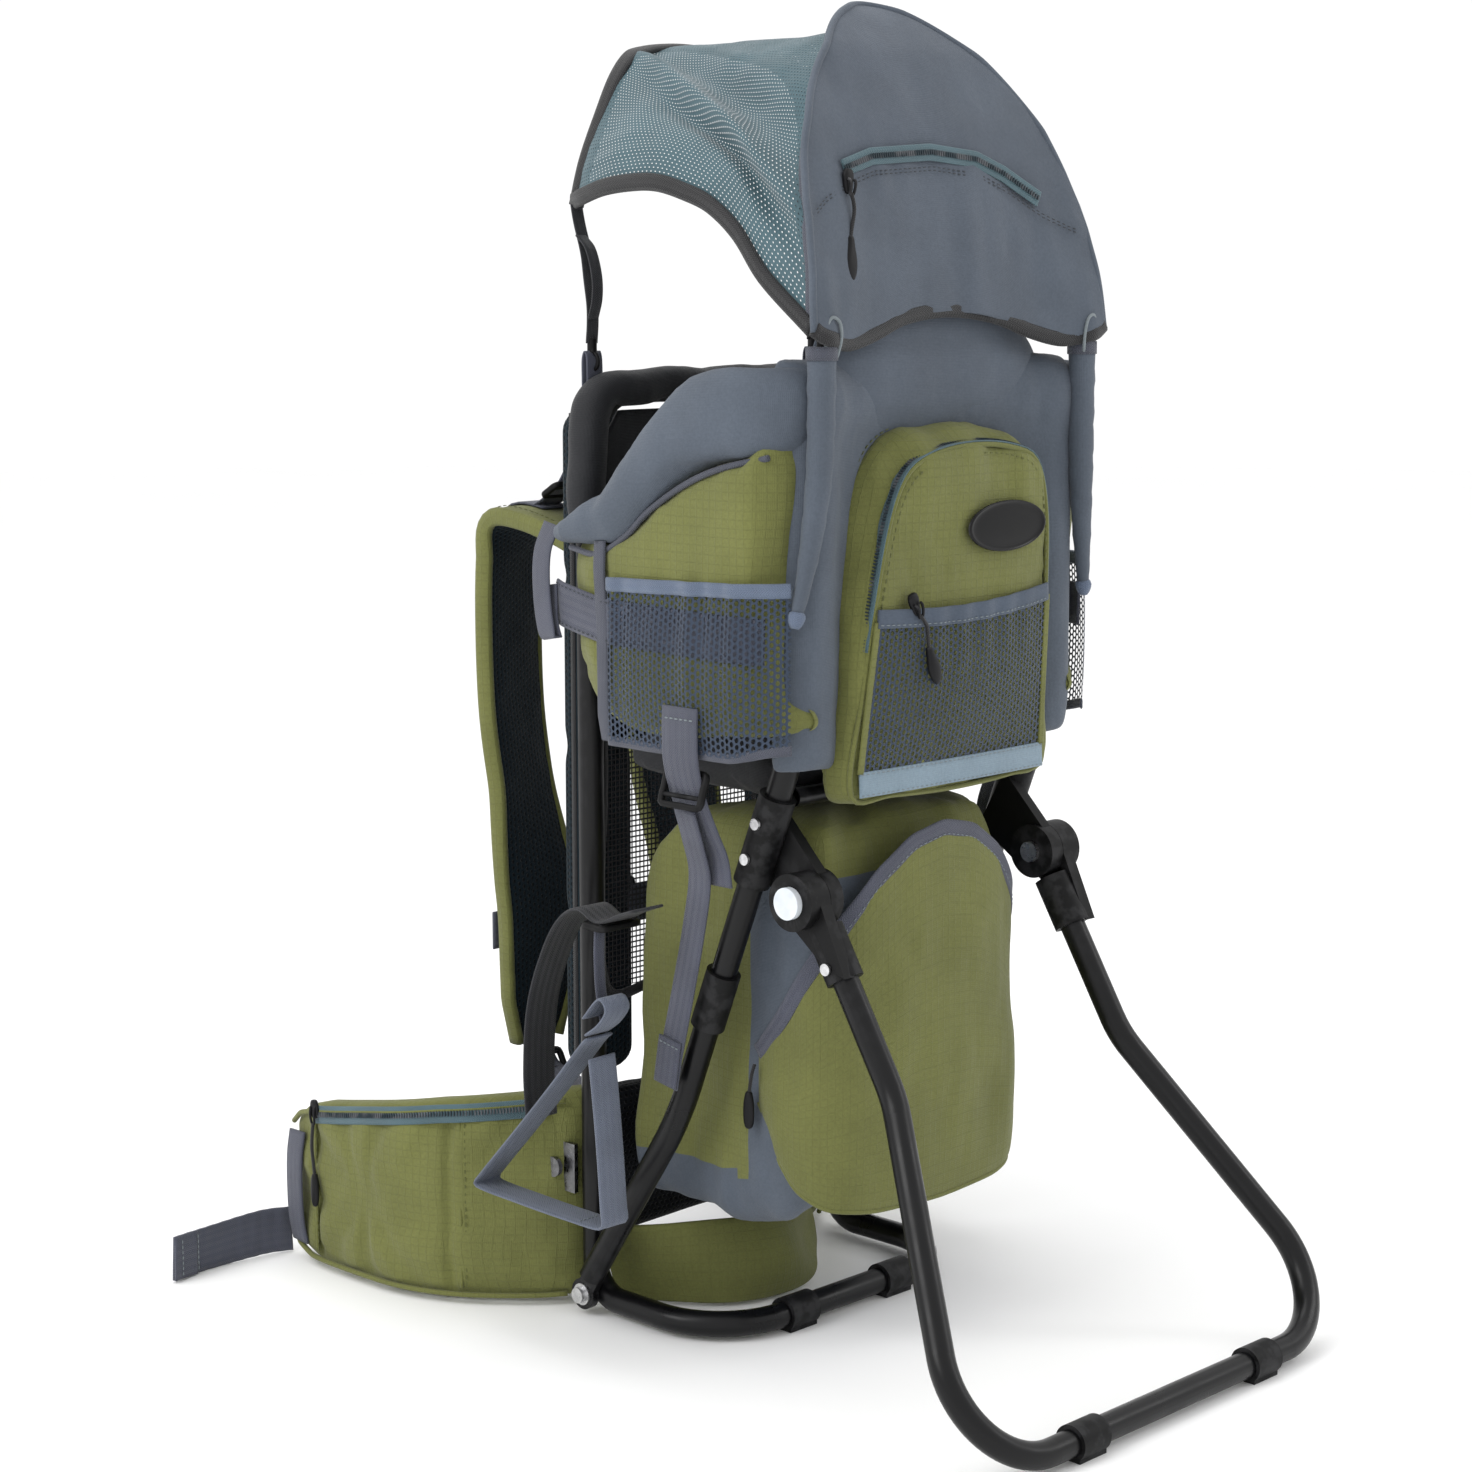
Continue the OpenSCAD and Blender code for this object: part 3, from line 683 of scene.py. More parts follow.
OLIVE = srgb(106, 109, 58)
SLATE = srgb(79, 87, 98)
M = {
    "olive": cloth("olive_ripstop", OLIVE),
    "olive_plain": cloth("olive_soft_ripstop", lighter(OLIVE, 0.97), rip_show=0.1),
    "slate": cloth("slate_weave", SLATE, rip=0, crease=0.8),
    "black_cloth": cloth("black_lining", srgb(27, 28, 32), rip=0, rough=0.7),
    "binding": woven("black_binding", srgb(25, 25, 27)),
    "grey_binding": woven("grey_binding", srgb(66, 69, 80)),
    "webbing": woven("grey_webbing", srgb(68, 71, 84)),
    "pale_webbing": woven("pale_grey_webbing", srgb(92, 99, 114)),
    "black_webbing": woven("black_webbing", srgb(33, 34, 39)),
    "visor": net("visor_net", srgb(66, 91, 99), 3.0, 0.15),
    "pocket_net": net("pocket_net", srgb(44, 56, 74), 4.1, 0.37),
    "window": net("window_net", srgb(34, 34, 37), 3.4, 0.33, square=True),
    "air": spacer("teal_air_mesh", srgb(20, 33, 40)),
    "black_air": spacer("black_air_mesh", srgb(20, 23, 27)),
    "hem": cloth("slate_hem", srgb(74, 84, 98), rip=0, crease=0.4),
    "elastic": woven("blue_grey_elastic", srgb(88, 100, 120)),
    "zip_tape": woven("teal_zip_tape", srgb(72, 96, 104)),
    "coil": moulded("zip_coil", srgb(46, 56, 62), 0.45),
    "thread": cloth("pale_thread", srgb(120, 128, 132), rip=0, crease=0.2),
    "dark_thread": cloth("dark_thread", srgb(52, 55, 60), rip=0, crease=0.2),
    "olive_thread": cloth("olive_thread", srgb(84, 88, 44), rip=0, crease=0.2),
    "reflective": cloth("reflective_tape", srgb(126, 146, 160), rip=1.3, rip_show=0.15,
                        rough=0.42, crease=0.2),
    "plastic": moulded("black_moulding", srgb(15, 15, 16), 0.5, 0.2, (0.03, 0.03, 0.032, 1)),
    "soft_plastic": moulded("black_soft_moulding", srgb(21, 21, 23), 0.42, 0.2),
    "gloss": moulded("gloss_badge", srgb(17, 17, 18), 0.2, 0.05),
    "button": moulded("white_button", srgb(214, 220, 226), 0.34, 0.1, (0.75, 0.77, 0.8, 1)),
    "paint": painted("black_powder_coat", srgb(10, 10, 12)),
    "steel": metal("zinc_steel", (0.62, 0.62, 0.63, 1)),
    "dark_steel": metal("dark_steel", (0.2, 0.2, 0.21, 1)),
    "cord": woven("black_cord", srgb(24, 24, 26)),
}


def floor_material():
    s = Shader("pale_floor", (0.98, 0.98, 0.98, 1), 0.7, specular=0.25)
    s.tone(s.blotches(900), 0.985, 1.0)
    return s.finish()


make_camera()
make_stage()
disc = make_object("floor", [(0, 0, 0)] + [(9000 * math.cos(a), 9000 * math.sin(a), 0)
                                          for a in np.linspace(0, 2 * math.pi, 72, endpoint=False)],
                   [(0, i + 1, (i + 1) % 72 + 1) for i in range(72)], floor_material())
disc.data.transform(Matrix.Translation((0, 0, -0.0002)))


# ---- placing pieces ----

def place(ob, body, nodes=(), slot=None):
    """Rides on its body and stands for its CAD nodes, which it hides; slot is not used."""
    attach(ob, body)
    if nodes:
        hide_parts(*nodes)
    return ob


def flip_x(points):
    p = np.array(points, float)
    p[:, 0] *= -1
    return p


def both(points):
    """A route given from the middle or the left end, made whole by its mirror image."""
    p = np.array(points, float)
    return np.vstack([p, flip_x(p)[::-1][1:]])


def ribbon(name, route, width, side, material, count=40, thick=1.6, closed=False):
    return sweep(name, spline(route, count, closed), tape(width, thick), side, material,
                 closed=closed)


def cord_tube(name, route, radius, material, count=24, closed=False):
    path = spline(route, count, closed)
    return sweep(name, path, oval(2 * radius, 2 * radius, 10), (0.31, 0.87, 0.38), material,
                 closed=closed), path


def edging(name, route, width, thick, side, material, count=90):
    """Folded binding round a cloth edge: an oval band that lies in the cloth's plane."""
    return sweep(name, spline(route, count), oval(width, thick, 10, 2.6), side, material)


def zip_teeth(name, path, out, width=3.4):
    return stitches(name, path, out, M["coil"], dash=1.25, gap=0.75, width=width, height=1.0)


def turned(point, degrees_x, degrees_y):
    """A point turned about X, then about Y."""
    a, b = math.radians(degrees_x), math.radians(degrees_y)
    x, y, z = point
    y, z = y * math.cos(a) - z * math.sin(a), y * math.sin(a) + z * math.cos(a)
    return np.array((x * math.cos(b) + z * math.sin(b), y, -x * math.sin(b) + z * math.cos(b)))


def zip_pull(name, carrier, body, node, pivot, tilt, length, end_w=9.5, end_l=24):
    """A slider, the cord through it and the moulded grip on the cord's end."""
    pivot = np.asarray(pivot, float)

    def local(x, y, z):
        return pivot + turned((x, y, z), *tilt)

    side = turned((1, 0, 0), *tilt)
    zs = np.array([7, 6, 3, 0, -3, -6, -7.5])
    widths = [4, 7, 9, 7.4, 7, 6, 3]
    rows = [oval(w, 4.2 if 0 < i < 6 else 2.5, 12, 2.8) for i, w in enumerate(widths)]
    body_piece = sweep(name + "_slider", [local(0, 0, z) for z in zs], np.array(rows), side,
                       M["soft_plastic"])
    subdivide(body_piece)
    place(body_piece, carrier)
    hoop, _ = cord_tube(name + "_bail", [local(-2.4, -2.6, 0.4), local(-2.3, -3.8, -0.6),
                                         local(-2, -3.9, -4),
                                         local(-1.4, -2.8, -8), local(1.4, -2.8, -8), local(2, -3.9, -4),
                                         local(2.3, -3.8, -0.6), local(2.4, -2.6, 0.4)], 0.9,
                                         M["soft_plastic"])
    slider = hoop
    route = [local(0, -2.4, -7), local(1.5, -3.0, -12), local(2.2, -3, -length * 0.3),
             local(0.6, -2.8, -length * 0.45), local(-0.4, -2.6, -length + end_l + 1)]
    cord, path = cord_tube(name + "_cord", route, 1.15, M["cord"], 28)
    gz = np.linspace(-length + end_l + 3, -length, 9)
    gw = np.array([0.34, 0.5, 0.6, 0.8, 0.97, 1.0, 0.95, 0.75, 0.3]) * end_w
    gt = np.array([3.4, 4.2, 4.4, 4.8, 5.0, 5.0, 4.6, 3.8, 2.0])
    grip = sweep(name + "_grip", [local(-0.4, -2.6, z) for z in gz],
                 np.array([oval(w, t, 14, 2.3) for w, t in zip(gw, gt)]), side, M["soft_plastic"])
    subdivide(grip)
    place(slider, body, [node], "black_plastic")
    place(grip, body)
    place(cord, body)
    return slider


# ---- canopy ----

PROFILE_Z = [608, 614, 680, 740, 782, 808, 816]
PROFILE_Y = [-81, -80, -73, -61, -42, -17, 4]
CANOPY_X = 128.0
ARCH = np.array([(1, 0), (0.99, 0.17), (0.95, 0.4), (0.885, 0.54), (0.77, 0.68), (0.6, 0.81),
                 (0.38, 0.92), (0.19, 0.98), (0, 1)])


def panel_y(x, z):
    """Where the canopy's back panel lies at a point across and up."""
    z = np.asarray(z, float)
    side = (np.abs(x) / CANOPY_X) ** 2
    low = 1 - smoothstep(640, 770, z)
    rod = np.exp(-((np.abs(x) - 118) / 8.0) ** 2) * (1 - smoothstep(648, 672, z))
    return np.interp(z, PROFILE_Z, PROFILE_Y) - 12 * side * low - 3.5 * rod


def on_panel(x, z, out=0.0):
    x, z = np.broadcast_arrays(np.asarray(x, float), np.asarray(z, float))
    return np.stack([x, panel_y(x, z) - out, z], -1)


def coons(bottom, top, left, right):
    """A smooth patch between four edges; bottom and top run left to right, left and right run up."""
    m, n = len(bottom), len(left)
    u = np.linspace(0, 1, m)[None, :, None]
    v = np.linspace(0, 1, n)[:, None, None]
    ruled = (1 - v) * bottom[None] + v * top[None] + (1 - u) * left[:, None] + u * right[:, None]
    corners = ((1 - u) * (1 - v) * bottom[0] + u * (1 - v) * bottom[-1]
               + (1 - u) * v * top[0] + u * v * top[-1])
    return ruled - corners


def canopy_zip_z(x):
    """Height of the zip across the canopy's panel."""
    return np.interp(x, [-125, -107, -84, -59, -6, 35, 58, 87, 110, 125],
                     [692, 703, 712, 719, 723, 720, 712, 697, 689, 686])


def canopy():
    """The rear panel with its zip, and the net hood from its rim to the hoop at the front."""
    arch = spline(both([(-q[0] * CANOPY_X, 0, 616 + q[1] * (811 - 616)) for q in ARCH[2:]]), 61)
    foot = spline(both([(-131, 0, 620), (-124, 0, 616), (-110, 0, 613), (-94, 0, 612), (-70, 0, 617),
                        (-40, 0, 626), (0, 0, 630)]), 61)
    left = spline([foot[0], (-129.5, 0, 642), (-126, 0, 668), arch[0]], 25)
    patch = coons(foot, arch, left, flip_x(left))
    x, z = patch[..., 0], patch[..., 2]
    y = panel_y(x, z)
    below = smoothstep(1.5, -1.5, z - canopy_zip_z(x))
    flat = np.stack([x.ravel(), y.ravel(), z.ravel()], 1)
    fold = noise(flat * (1.0, 1.0, 0.28), 24, 5, 2).reshape(x.shape)
    fade = smoothstep(0, 0.08, np.minimum(z - 612, 812 - z) / 200.0)
    fan = np.sin(x / 7.5 + (z - 612) / 30.0) * smoothstep(40, 120, x) * smoothstep(690, 640, z)
    y = y - 1.3 * below - fold * (1.4 + 1.2 * below) * fade - 1.6 * fan * fade
    panel = grid("canopy_panel_cloth", np.stack([x, y, z], -1), M["slate"])
    thicken(panel, 2.2)
    subdivide(panel)
    place(panel, "canopy", ["canopy_panel"], "slate_fabric")

    xs = np.linspace(-86, 86, 90)
    line = spline(on_panel(xs, canopy_zip_z(xs), 3.4), 90)
    zipper = sweep("canopy_zip_tape", line, tape(10, 1.0), (0, 0.12, 1), M["zip_tape"])
    teeth = zip_teeth("canopy_zip_teeth", line + (0, -0.5, 0), (0, -1, 0.15))
    place(zipper, "canopy")
    place(teeth, "canopy")
    xs = np.linspace(-119, 116, 120)
    zs = canopy_zip_z(xs)
    for k, (drop, out) in enumerate(((-8.5, 3.2), (-10.5, 3.2))):
        row = stitches(f"canopy_zip_stitch_{k}", spline(on_panel(xs, zs + drop, out), 120), (0, -1, 0.1),
                       M["dark_thread"], 2.6, 1.8, 0.7, 0.35)
        place(row, "canopy")
    hem = on_panel(foot[:, 0], foot[:, 2], 0)
    hem[:, 2] += 2.0
    band = edging("canopy_foot_binding", hem, 9.5, 5.0, (0, 0, 1), M["binding"], 110)
    place(band, "canopy", (), "webbing")

    rim = np.vstack([on_panel(left[:, 0], left[:, 2]), on_panel(arch[1:, 0], arch[1:, 2]),
                     flip_x(on_panel(left[:, 0], left[:, 2]))[::-1][1:]])
    piping = edging("canopy_rim_piping", rim, 4.2, 4.2, (0, 1, 0), M["slate"], 150)
    place(piping, "canopy")

    # the net hood, from the panel's rim to the hoop at its front
    rear = spline(rim, 121)
    hoop = spline(both([(-100, 137, 695), (-97, 131, 722), (-90, 124, 750), (-80, 122, 772),
                        (-64, 126, 786), (-44, 134, 791), (-20, 139, 794), (0, 141, 795)]), 121)
    rear_in = rear * (0.985, 1, 1)
    rear_in[:, 2] = 616 + (rear_in[:, 2] - 616) * 0.93
    rear_in[:, 1] = panel_y(rear_in[:, 0], rear_in[:, 2]) + 3.0
    hem_l = spline([rear_in[0], (-127, -50, 649), (-124.5, -26, 674), (-122.5, -2, 690),
                    (-122, 20, 698), (-122, 40, 703), (-121, 60, 704), (-118, 90, 702),
                    (-111, 118, 697), hoop[0]], 61)
    v = np.linspace(0, 1, 61)[:, None]
    u = np.linspace(0, 1, 121)[None, :]
    near = np.minimum(u, 1 - u)
    hood = (1 - v)[..., None] * rear_in + v[..., None] * hoop
    sag = hem_l - ((1 - v) * rear_in[0] + v * hoop[0])
    hood = hood + (smoothstep(0.28, 0, u)[..., None] * sag[:, None]
                   + smoothstep(0.72, 1, u)[..., None] * flip_x(sag)[:, None])
    inside = np.sin(np.pi * v) ** 0.6 * smoothstep(0, 0.06, near)
    ridge = np.exp(-((near - (0.13 + 0.2 * v)) / 0.026) ** 2)
    valley = np.exp(-((near - (0.075 + 0.2 * v)) / 0.028) ** 2) * (1 - 0.7 * v)
    dip = np.exp(-((near - (0.21 + 0.16 * v)) / 0.05) ** 2)
    crown = np.exp(-((near - 0.45) / 0.09) ** 2)
    ripple = np.sin(near * 150 + 5 * v) * smoothstep(0.22, 0.05, near) * smoothstep(0.5, 0.95, v)
    lift = (11 * ridge - 13 * valley - 13 * dip - 1 * crown + 1.0 * ripple) * inside
    lift += 1.5 * noise(hood.reshape(-1, 3), 26, 11, 2).reshape(lift.shape) * inside
    du = np.gradient(hood, axis=1)
    dv = np.gradient(hood, axis=0)
    out = unit(np.cross(du, dv))
    if (out[30, 60] * (0, 0, 1)).sum() < 0:
        out = -out
    hood = hood + out * lift[..., None]
    net_sheet = grid("canopy_net", hood, M["visor"])
    subdivide(net_sheet)
    place(net_sheet, "canopy", ["canopy_visor"], "visor_mesh")
    for side, name in ((hem_l, "left"), (flip_x(hem_l), "right")):
        s = LEFT if name == "left" else RIGHT
        edge = edging(f"canopy_hem_{name}", side + (s * 0.6, 0, 2.0), 10.5, 4.6, (0, 0.3, 1),
                      M["binding"], 90)
        place(edge, "canopy", (), "webbing")
    top = edging("canopy_hoop_binding", hoop + (0, -1.5, -1.0), 12, 5.0, (0, 1, 0.12), M["binding"], 110)
    place(top, "canopy", (), "webbing")
    seam = edging("canopy_net_seam", rear_in + (0, 1.5, 0), 6, 2.4, (0, 1, 0), M["grey_binding"], 150)
    place(seam, "canopy")
    zip_pull("canopy_pull", "canopy", "canopy_pull", "canopy_zip_pull", (-85.958, -74.681 - 1.2, 704.302),
             (-7, 8), 59, 11, 25)


# ---- seat ----

PLAN = np.array([(112, -139), (100, -144), (80, -147), (60, -149), (20, -150), (-38, -150), (-58, -147.5),
                 (-70, -140), (-77, -130)])


def side_x(y):
    """Distance from the middle to the seat's outer face, from how far back it is."""
    return -np.interp(y, PLAN[::-1, 0], PLAN[::-1, 1])


def prism(name, outline, axis, low, high):
    """A closed block between two copies of an outline, to be remeshed."""
    p = np.asarray(outline, float)
    n = len(p)
    def lift(q, value):
        q = list(q)
        q.insert(axis, value)
        return q
    verts = [lift(q, low) for q in p] + [lift(q, high) for q in p]
    faces = [list(range(n))[::-1], list(range(n, 2 * n))]
    faces += [(i, (i + 1) % n, (i + 1) % n + n, i + n) for i in range(n)]
    return outward(make_object(name, verts, faces, M["olive"]))


def finish_cloth(ob, material, levels=1):
    ob.data.materials.clear()
    ob.data.materials.append(material)
    box_uv(ob)
    if levels:
        subdivide(ob, levels)
    return ob


def seat():
    """The padded sides, the collar and the rear wall."""
    lower = [(-88, 392), (-58, 381), (48, 379), (80, 392), (97, 412), (105, 440), (106, 482),
             (97, 496), (62, 506), (41, 520), (20, 534), (-10, 549), (-44, 559), (-74, 563), (-74, 420)]
    pad = prism("seat_side_left_pad", spline(lower, 90, True), 0, -143, -112)
    inflate(pad, 6.0, 4.5, 8.0, shrink=0.5)
    p = points_of(pad)
    outer = smoothstep(-118, -136, p[:, 0])
    shift = side_x(p[:, 1]) - 150
    p[:, 0] -= shift * outer
    seam = np.exp(-((p[:, 1] - (56 + (p[:, 2] - 377) * 0.06)) / 5.0) ** 2)
    band = np.exp(-((p[:, 2] - 452) / 15.0) ** 4) * smoothstep(50, 60, p[:, 1])
    p[:, 0] += (3.6 * seam + 1.6 * band) * outer
    move_points(pad, p)
    crumple(pad, 0.9, 26, 3, (1, 1, 0.5))
    finish_cloth(pad, M["olive"])
    other = mirror(pad, "seat_side_right_pad")
    place(pad, "pack", ["seat_side_left"], "olive_fabric")
    place(other, "pack", ["seat_side_right"], "olive_fabric")

    rows = []
    route = [(-131, 113, 497, 11, 20), (-137, 99, 500, 19, 24), (-139, 80, 506, 30, 26),
             (-140, 58, 513, 38, 27),
             (-140, 30, 535, 44, 28), (-139, 8, 554, 52, 28), (-138, -14, 567, 60, 28),
             (-136, -40, 573, 57, 28), (-130, -58, 575, 54, 28), (-118, -68, 576, 52, 26),
             (-100, -68, 577, 50, 22)]
    line = spline(route, 56)
    sections = np.array([oval(h, t, 20, 2.5) for h, t in line[:, 3:]])
    collar = sweep("seat_collar_left_pad", line[:, :3], sections, (0, 0, 1), M["slate"])
    inflate(collar, 5.5, 3.5, 4.0, frames=16)
    crumple(collar, 1.3, 21, 8, (0.9, 0.9, 0.5))
    finish_cloth(collar, M["slate"])
    right = mirror(collar, "seat_collar_right_pad")
    place(collar, "pack", ["seat_collar"], "slate_fabric")
    place(right, "pack", ["seat_collar"], "slate_fabric")
    seam_route = [(97, 490), (70, 488), (44, 500), (25, 515), (-5, 532), (-35, 543), (-66, 550)]
    path = spline([(-(side_x(y) - 2.6), y, z) for y, z in seam_route], 90)
    for s, name in ((LEFT, "left"), (RIGHT, "right")):
        route = path if s == LEFT else flip_x(path)
        place(cord_tube(f"collar_piping_{name}", route, 1.9, M["grey_binding"], 110)[0], "pack")

    # the slate back wall: a padded roll at the top and a sleeve round each brace tube
    half = spline([(-101, -47, 0), (-112, -47.5, 0), (-122, -51, 0), (-127, -60, 0), (-125, -72, 0),
                   (-115, -80.5, 0), (-102, -80, 0), (-86, -72, 0), (-60, -67, 0), (-30, -66, 0),
                   (0, -66, 0)], 34)
    loop = np.vstack([half, flip_x(half)[::-1][1:]])
    inner = spline([(101, -47, 0), (60, -46, 0), (0, -46, 0), (-60, -46, 0), (-101, -47, 0)], 18)[1:-1]
    loop = np.vstack([loop, inner])
    zs = np.array([368, 369, 373, 384, 400, 420, 440, 460, 480, 500, 520, 540, 552, 562, 574, 588, 598,
                   603, 605])
    grow = np.array([0.55, 0.8, 0.96, 1.0, 1.0, 1, 1, 1, 1, 1, 1, 1, 1, 1.0, 1.0, 1, 0.9, 0.62, 0.25])
    rows = []
    for z, g in zip(zs, grow):
        ring = loop.copy()
        ring[:, 2] = z
        depth = ring[:, 1] + 57
        roll = 8.0 * np.exp(-((z - 580) / 17.0) ** 2) * (depth < 0) * smoothstep(128, 90,
                                                                                 np.abs(ring[:, 0]))
        ring[:, 1] = -57 + depth * g - roll
        ring[:, 0] = np.sign(ring[:, 0]) * (np.abs(ring[:, 0]) - (1 - g) * 7)
        rows.append(ring)
    wall = grid("seat_rear_wall", np.array(rows), M["slate"], closed=True, caps=True)
    outward(wall)
    subdivide(wall, 2)
    apply_all(wall)
    crumple(wall, 1.2, 23, 21, (1, 1, 0.45))
    finish_cloth(wall, M["slate"], 0)
    place(wall, "pack", ["seat_rear"], "slate_fabric")


# ---- rear pocket ----

def face_y(x, z):
    """How far back the rear pocket's outer face lies."""
    across = np.clip(1 - ((np.asarray(x, float) + 2) / 92) ** 2, 0, 1)
    up = np.clip(1 - ((np.asarray(z, float) - 450) / 112) ** 2, 0, 1)
    return -85.5 - 5.5 * smoothstep(350, 540, np.asarray(z, float)) - 5.0 * across ** 0.7 * up ** 0.7


def rear_pocket():
    """The rear pocket: a lofted bag with piping, stitches and its zip."""
    back = [(-93, 352), (-90, 410), (-85, 465), (-77, 520), (-62, 550), (-36, 563), (4, 567), (44, 563),
            (68, 550), (82, 520), (89, 465), (93, 410), (95, 352), (60, 347), (0, 345), (-60, 347)]
    face = [(-90, 353), (-84, 410), (-77, 462), (-66, 512), (-51, 538), (-26, 549), (10, 553), (46, 550),
            (68, 541), (78, 512), (81, 462), (82, 410), (82, 355), (54, 350), (0, 348), (-56, 350)]
    b = spline(back, 112, True)
    f = spline(face, 112, True)
    mid = f.mean(axis=0)
    rows = []
    for share, y in ((0.0, -62), (0.02, -68), (0.1, -75), (0.35, -81), (0.72, -85.4)):
        ring = b * (1 - share) + f * share
        swell = 1 + 0.014 * math.sin(math.pi * share)
        rows.append(np.stack([ring[:, 0] * swell, np.full(112, y), ring[:, 1]], 1))
    for k in (1.0, 0.975, 0.93, 0.85, 0.75, 0.64, 0.52, 0.4, 0.28, 0.16, 0.06):
        ring = mid + (f - mid) * k
        y = face_y(ring[:, 0], ring[:, 1]) + (1.4 if k == 1.0 else 0)
        rows.append(np.stack([ring[:, 0], y, ring[:, 1]], 1))
    bag = outward(grid("rear_pocket_bag", np.array(rows), M["olive"], closed=True, caps=True))
    subdivide(bag)
    apply_all(bag)
    p = points_of(bag)
    pull = 2.2 * noise(p * (1, 1, 0.5), 30, 31, 3) + 0.5 * noise(p, 9, 35, 2)
    radial = np.sin((p[:, 0] + 0.5 * p[:, 2]) / 9.0) * smoothstep(525, 560, p[:, 2]) * 0.8
    push(bag, pull + radial)
    finish_cloth(bag, M["olive"], 0)
    place(bag, "pack", ["rear_pocket"], "olive_fabric")
    rim = np.stack([f[:, 0], face_y(f[:, 0], f[:, 1]) + 1.0, f[:, 1]], 1)
    rim_piping = sweep("rear_pocket_piping", rim, oval(3.4, 3.4, 8), (0, 1, 0), M["olive_plain"],
                       closed=True)
    place(rim_piping, "pack")
    outer = mid + (b - mid) * 1.004
    gusset = np.stack([outer[:, 0], np.full(112, -69.0), outer[:, 1]], 1)[4:86]
    away = unit(gusset - (mid[0], -69, mid[1]))
    place(stitches("rear_pocket_gusset_stitch", gusset + away * 1.2, away, M["olive_thread"]), "pack")
    inset = mid + (f - mid) * 0.955
    edge = np.stack([inset[:, 0], face_y(inset[:, 0], inset[:, 1]) - 0.9, inset[:, 1]], 1)[6:90]
    place(stitches("rear_pocket_face_stitch", edge, (0, -1, 0), M["olive_thread"]), "pack")
    zip_run = np.stack([(mid + (f - mid) * 1.012)[:, 0], face_y(f[:, 0], f[:, 1]) + 4.0,
                        (mid + (f - mid) * 1.012)[:, 1]], 1)[14:74]
    away = unit(zip_run - (mid[0], -70, mid[1]))
    tape_ob = sweep("rear_pocket_zip_tape", zip_run + away * 0.6, tape(8, 1.0), (0, 1, 0), M["zip_tape"])
    place(tape_ob, "pack")
    place(zip_teeth("rear_pocket_zip_teeth", zip_run + away * 1.1, away, 3.0), "pack")


def rear_net():
    """The rear pocket's net, with its hem above and a reflective strip below."""
    u = np.linspace(0, 1, 49)[None, :]
    v = np.linspace(0, 1, 27)[:, None]
    z = 366 + v * 88 + 5 * u * v - 4 * np.sin(np.pi * u) * v
    left = -86 + v * 9
    right = 80 + v * -1
    x = left + (right - left) * u
    bulge = 5.5 * np.sin(np.pi * u) ** 0.8 * np.sin(np.pi * v * 0.85) ** 0.8
    pleat = 0.9 * np.sin(u * 46) * smoothstep(0.4, 1, v)
    y = face_y(x, z) - 1.6 - bulge - pleat * np.sin(np.pi * u)
    net_ob = grid("rear_net", np.stack([x, y, z], -1), M["pocket_net"])
    place(subdivide(net_ob), "pack", ["rear_mesh_pocket"], "pocket_mesh")
    top = np.stack([x[-1], y[-1] - 0.6, z[-1] + 2], 1)
    hem = sweep("rear_net_hem", spline(top, 70), tape(11, 1.8), (0, 0, 1), M["hem"])
    place(hem, "pack", (), "slate_fabric")
    place(stitches("rear_net_hem_stitch", spline(top, 90) + (0, -1.2, -3.6), (0, -1, 0), M["thread"],
                   2.4, 1.8, 0.6, 0.3), "pack")
    base = np.stack([x[0] * 1.01, y[0] - 0.5, z[0] - 6.5], 1)
    strip = sweep("rear_reflective_strip", spline(base, 70), tape(15, 1.2), (0, 0.06, 1), M["reflective"])
    place(strip, "pack")
    for k, dz in enumerate((6.2, -6.2)):
        place(stitches(f"rear_strip_stitch_{k}", spline(base, 90) + (0, -0.9, dz), (0, -1, 0),
                       M["thread"], 2.4, 1.8, 0.6, 0.3), "pack")
    for s, col in ((0, "left"), (-1, "right")):
        side = np.stack([x[:, s], y[:, s] - 0.3, z[:, s]], 1)
        place(sweep(f"rear_net_side_{col}", spline(side, 40), tape(5, 1.4), (1, 0, 0), M["olive_plain"]),
              "pack")


def blank_badge():
    """The oval badge, left blank."""
    a = np.linspace(0, 2 * np.pi, 64, endpoint=False)
    ring = np.stack([38 * np.cos(a), 15.5 * np.sin(a)], 1)
    y0 = float(face_y(34, 504)) - 1.4
    rows = []
    for k, out in ((1.0, 0), (1.0, 2.0), (0.975, 2.8), (0.93, 2.9), (0.9, 2.2), (0.7, 2.5), (0.4, 2.8),
                   (0.1, 2.9)):
        q = ring * k
        lean = (q[:, 1]) * 0.03 - q[:, 0] * 0.035
        rows.append(np.stack([34 + q[:, 0], y0 - out - lean, 504 + q[:, 1]], 1))
    badge = outward(grid("badge_oval", np.array(rows), M["gloss"], closed=True, caps=True))
    place(subdivide(badge), "pack", ["badge"], "badge_plastic")


def rear_pull():
    """The zip pull of the rear pocket."""
    zip_pull("rear_pull", "pack", "rear_pull", "rear_zip_pull", (-50, -97.2, 463), (0, -22), 52, 10, 22)


# ---- seat trim ----

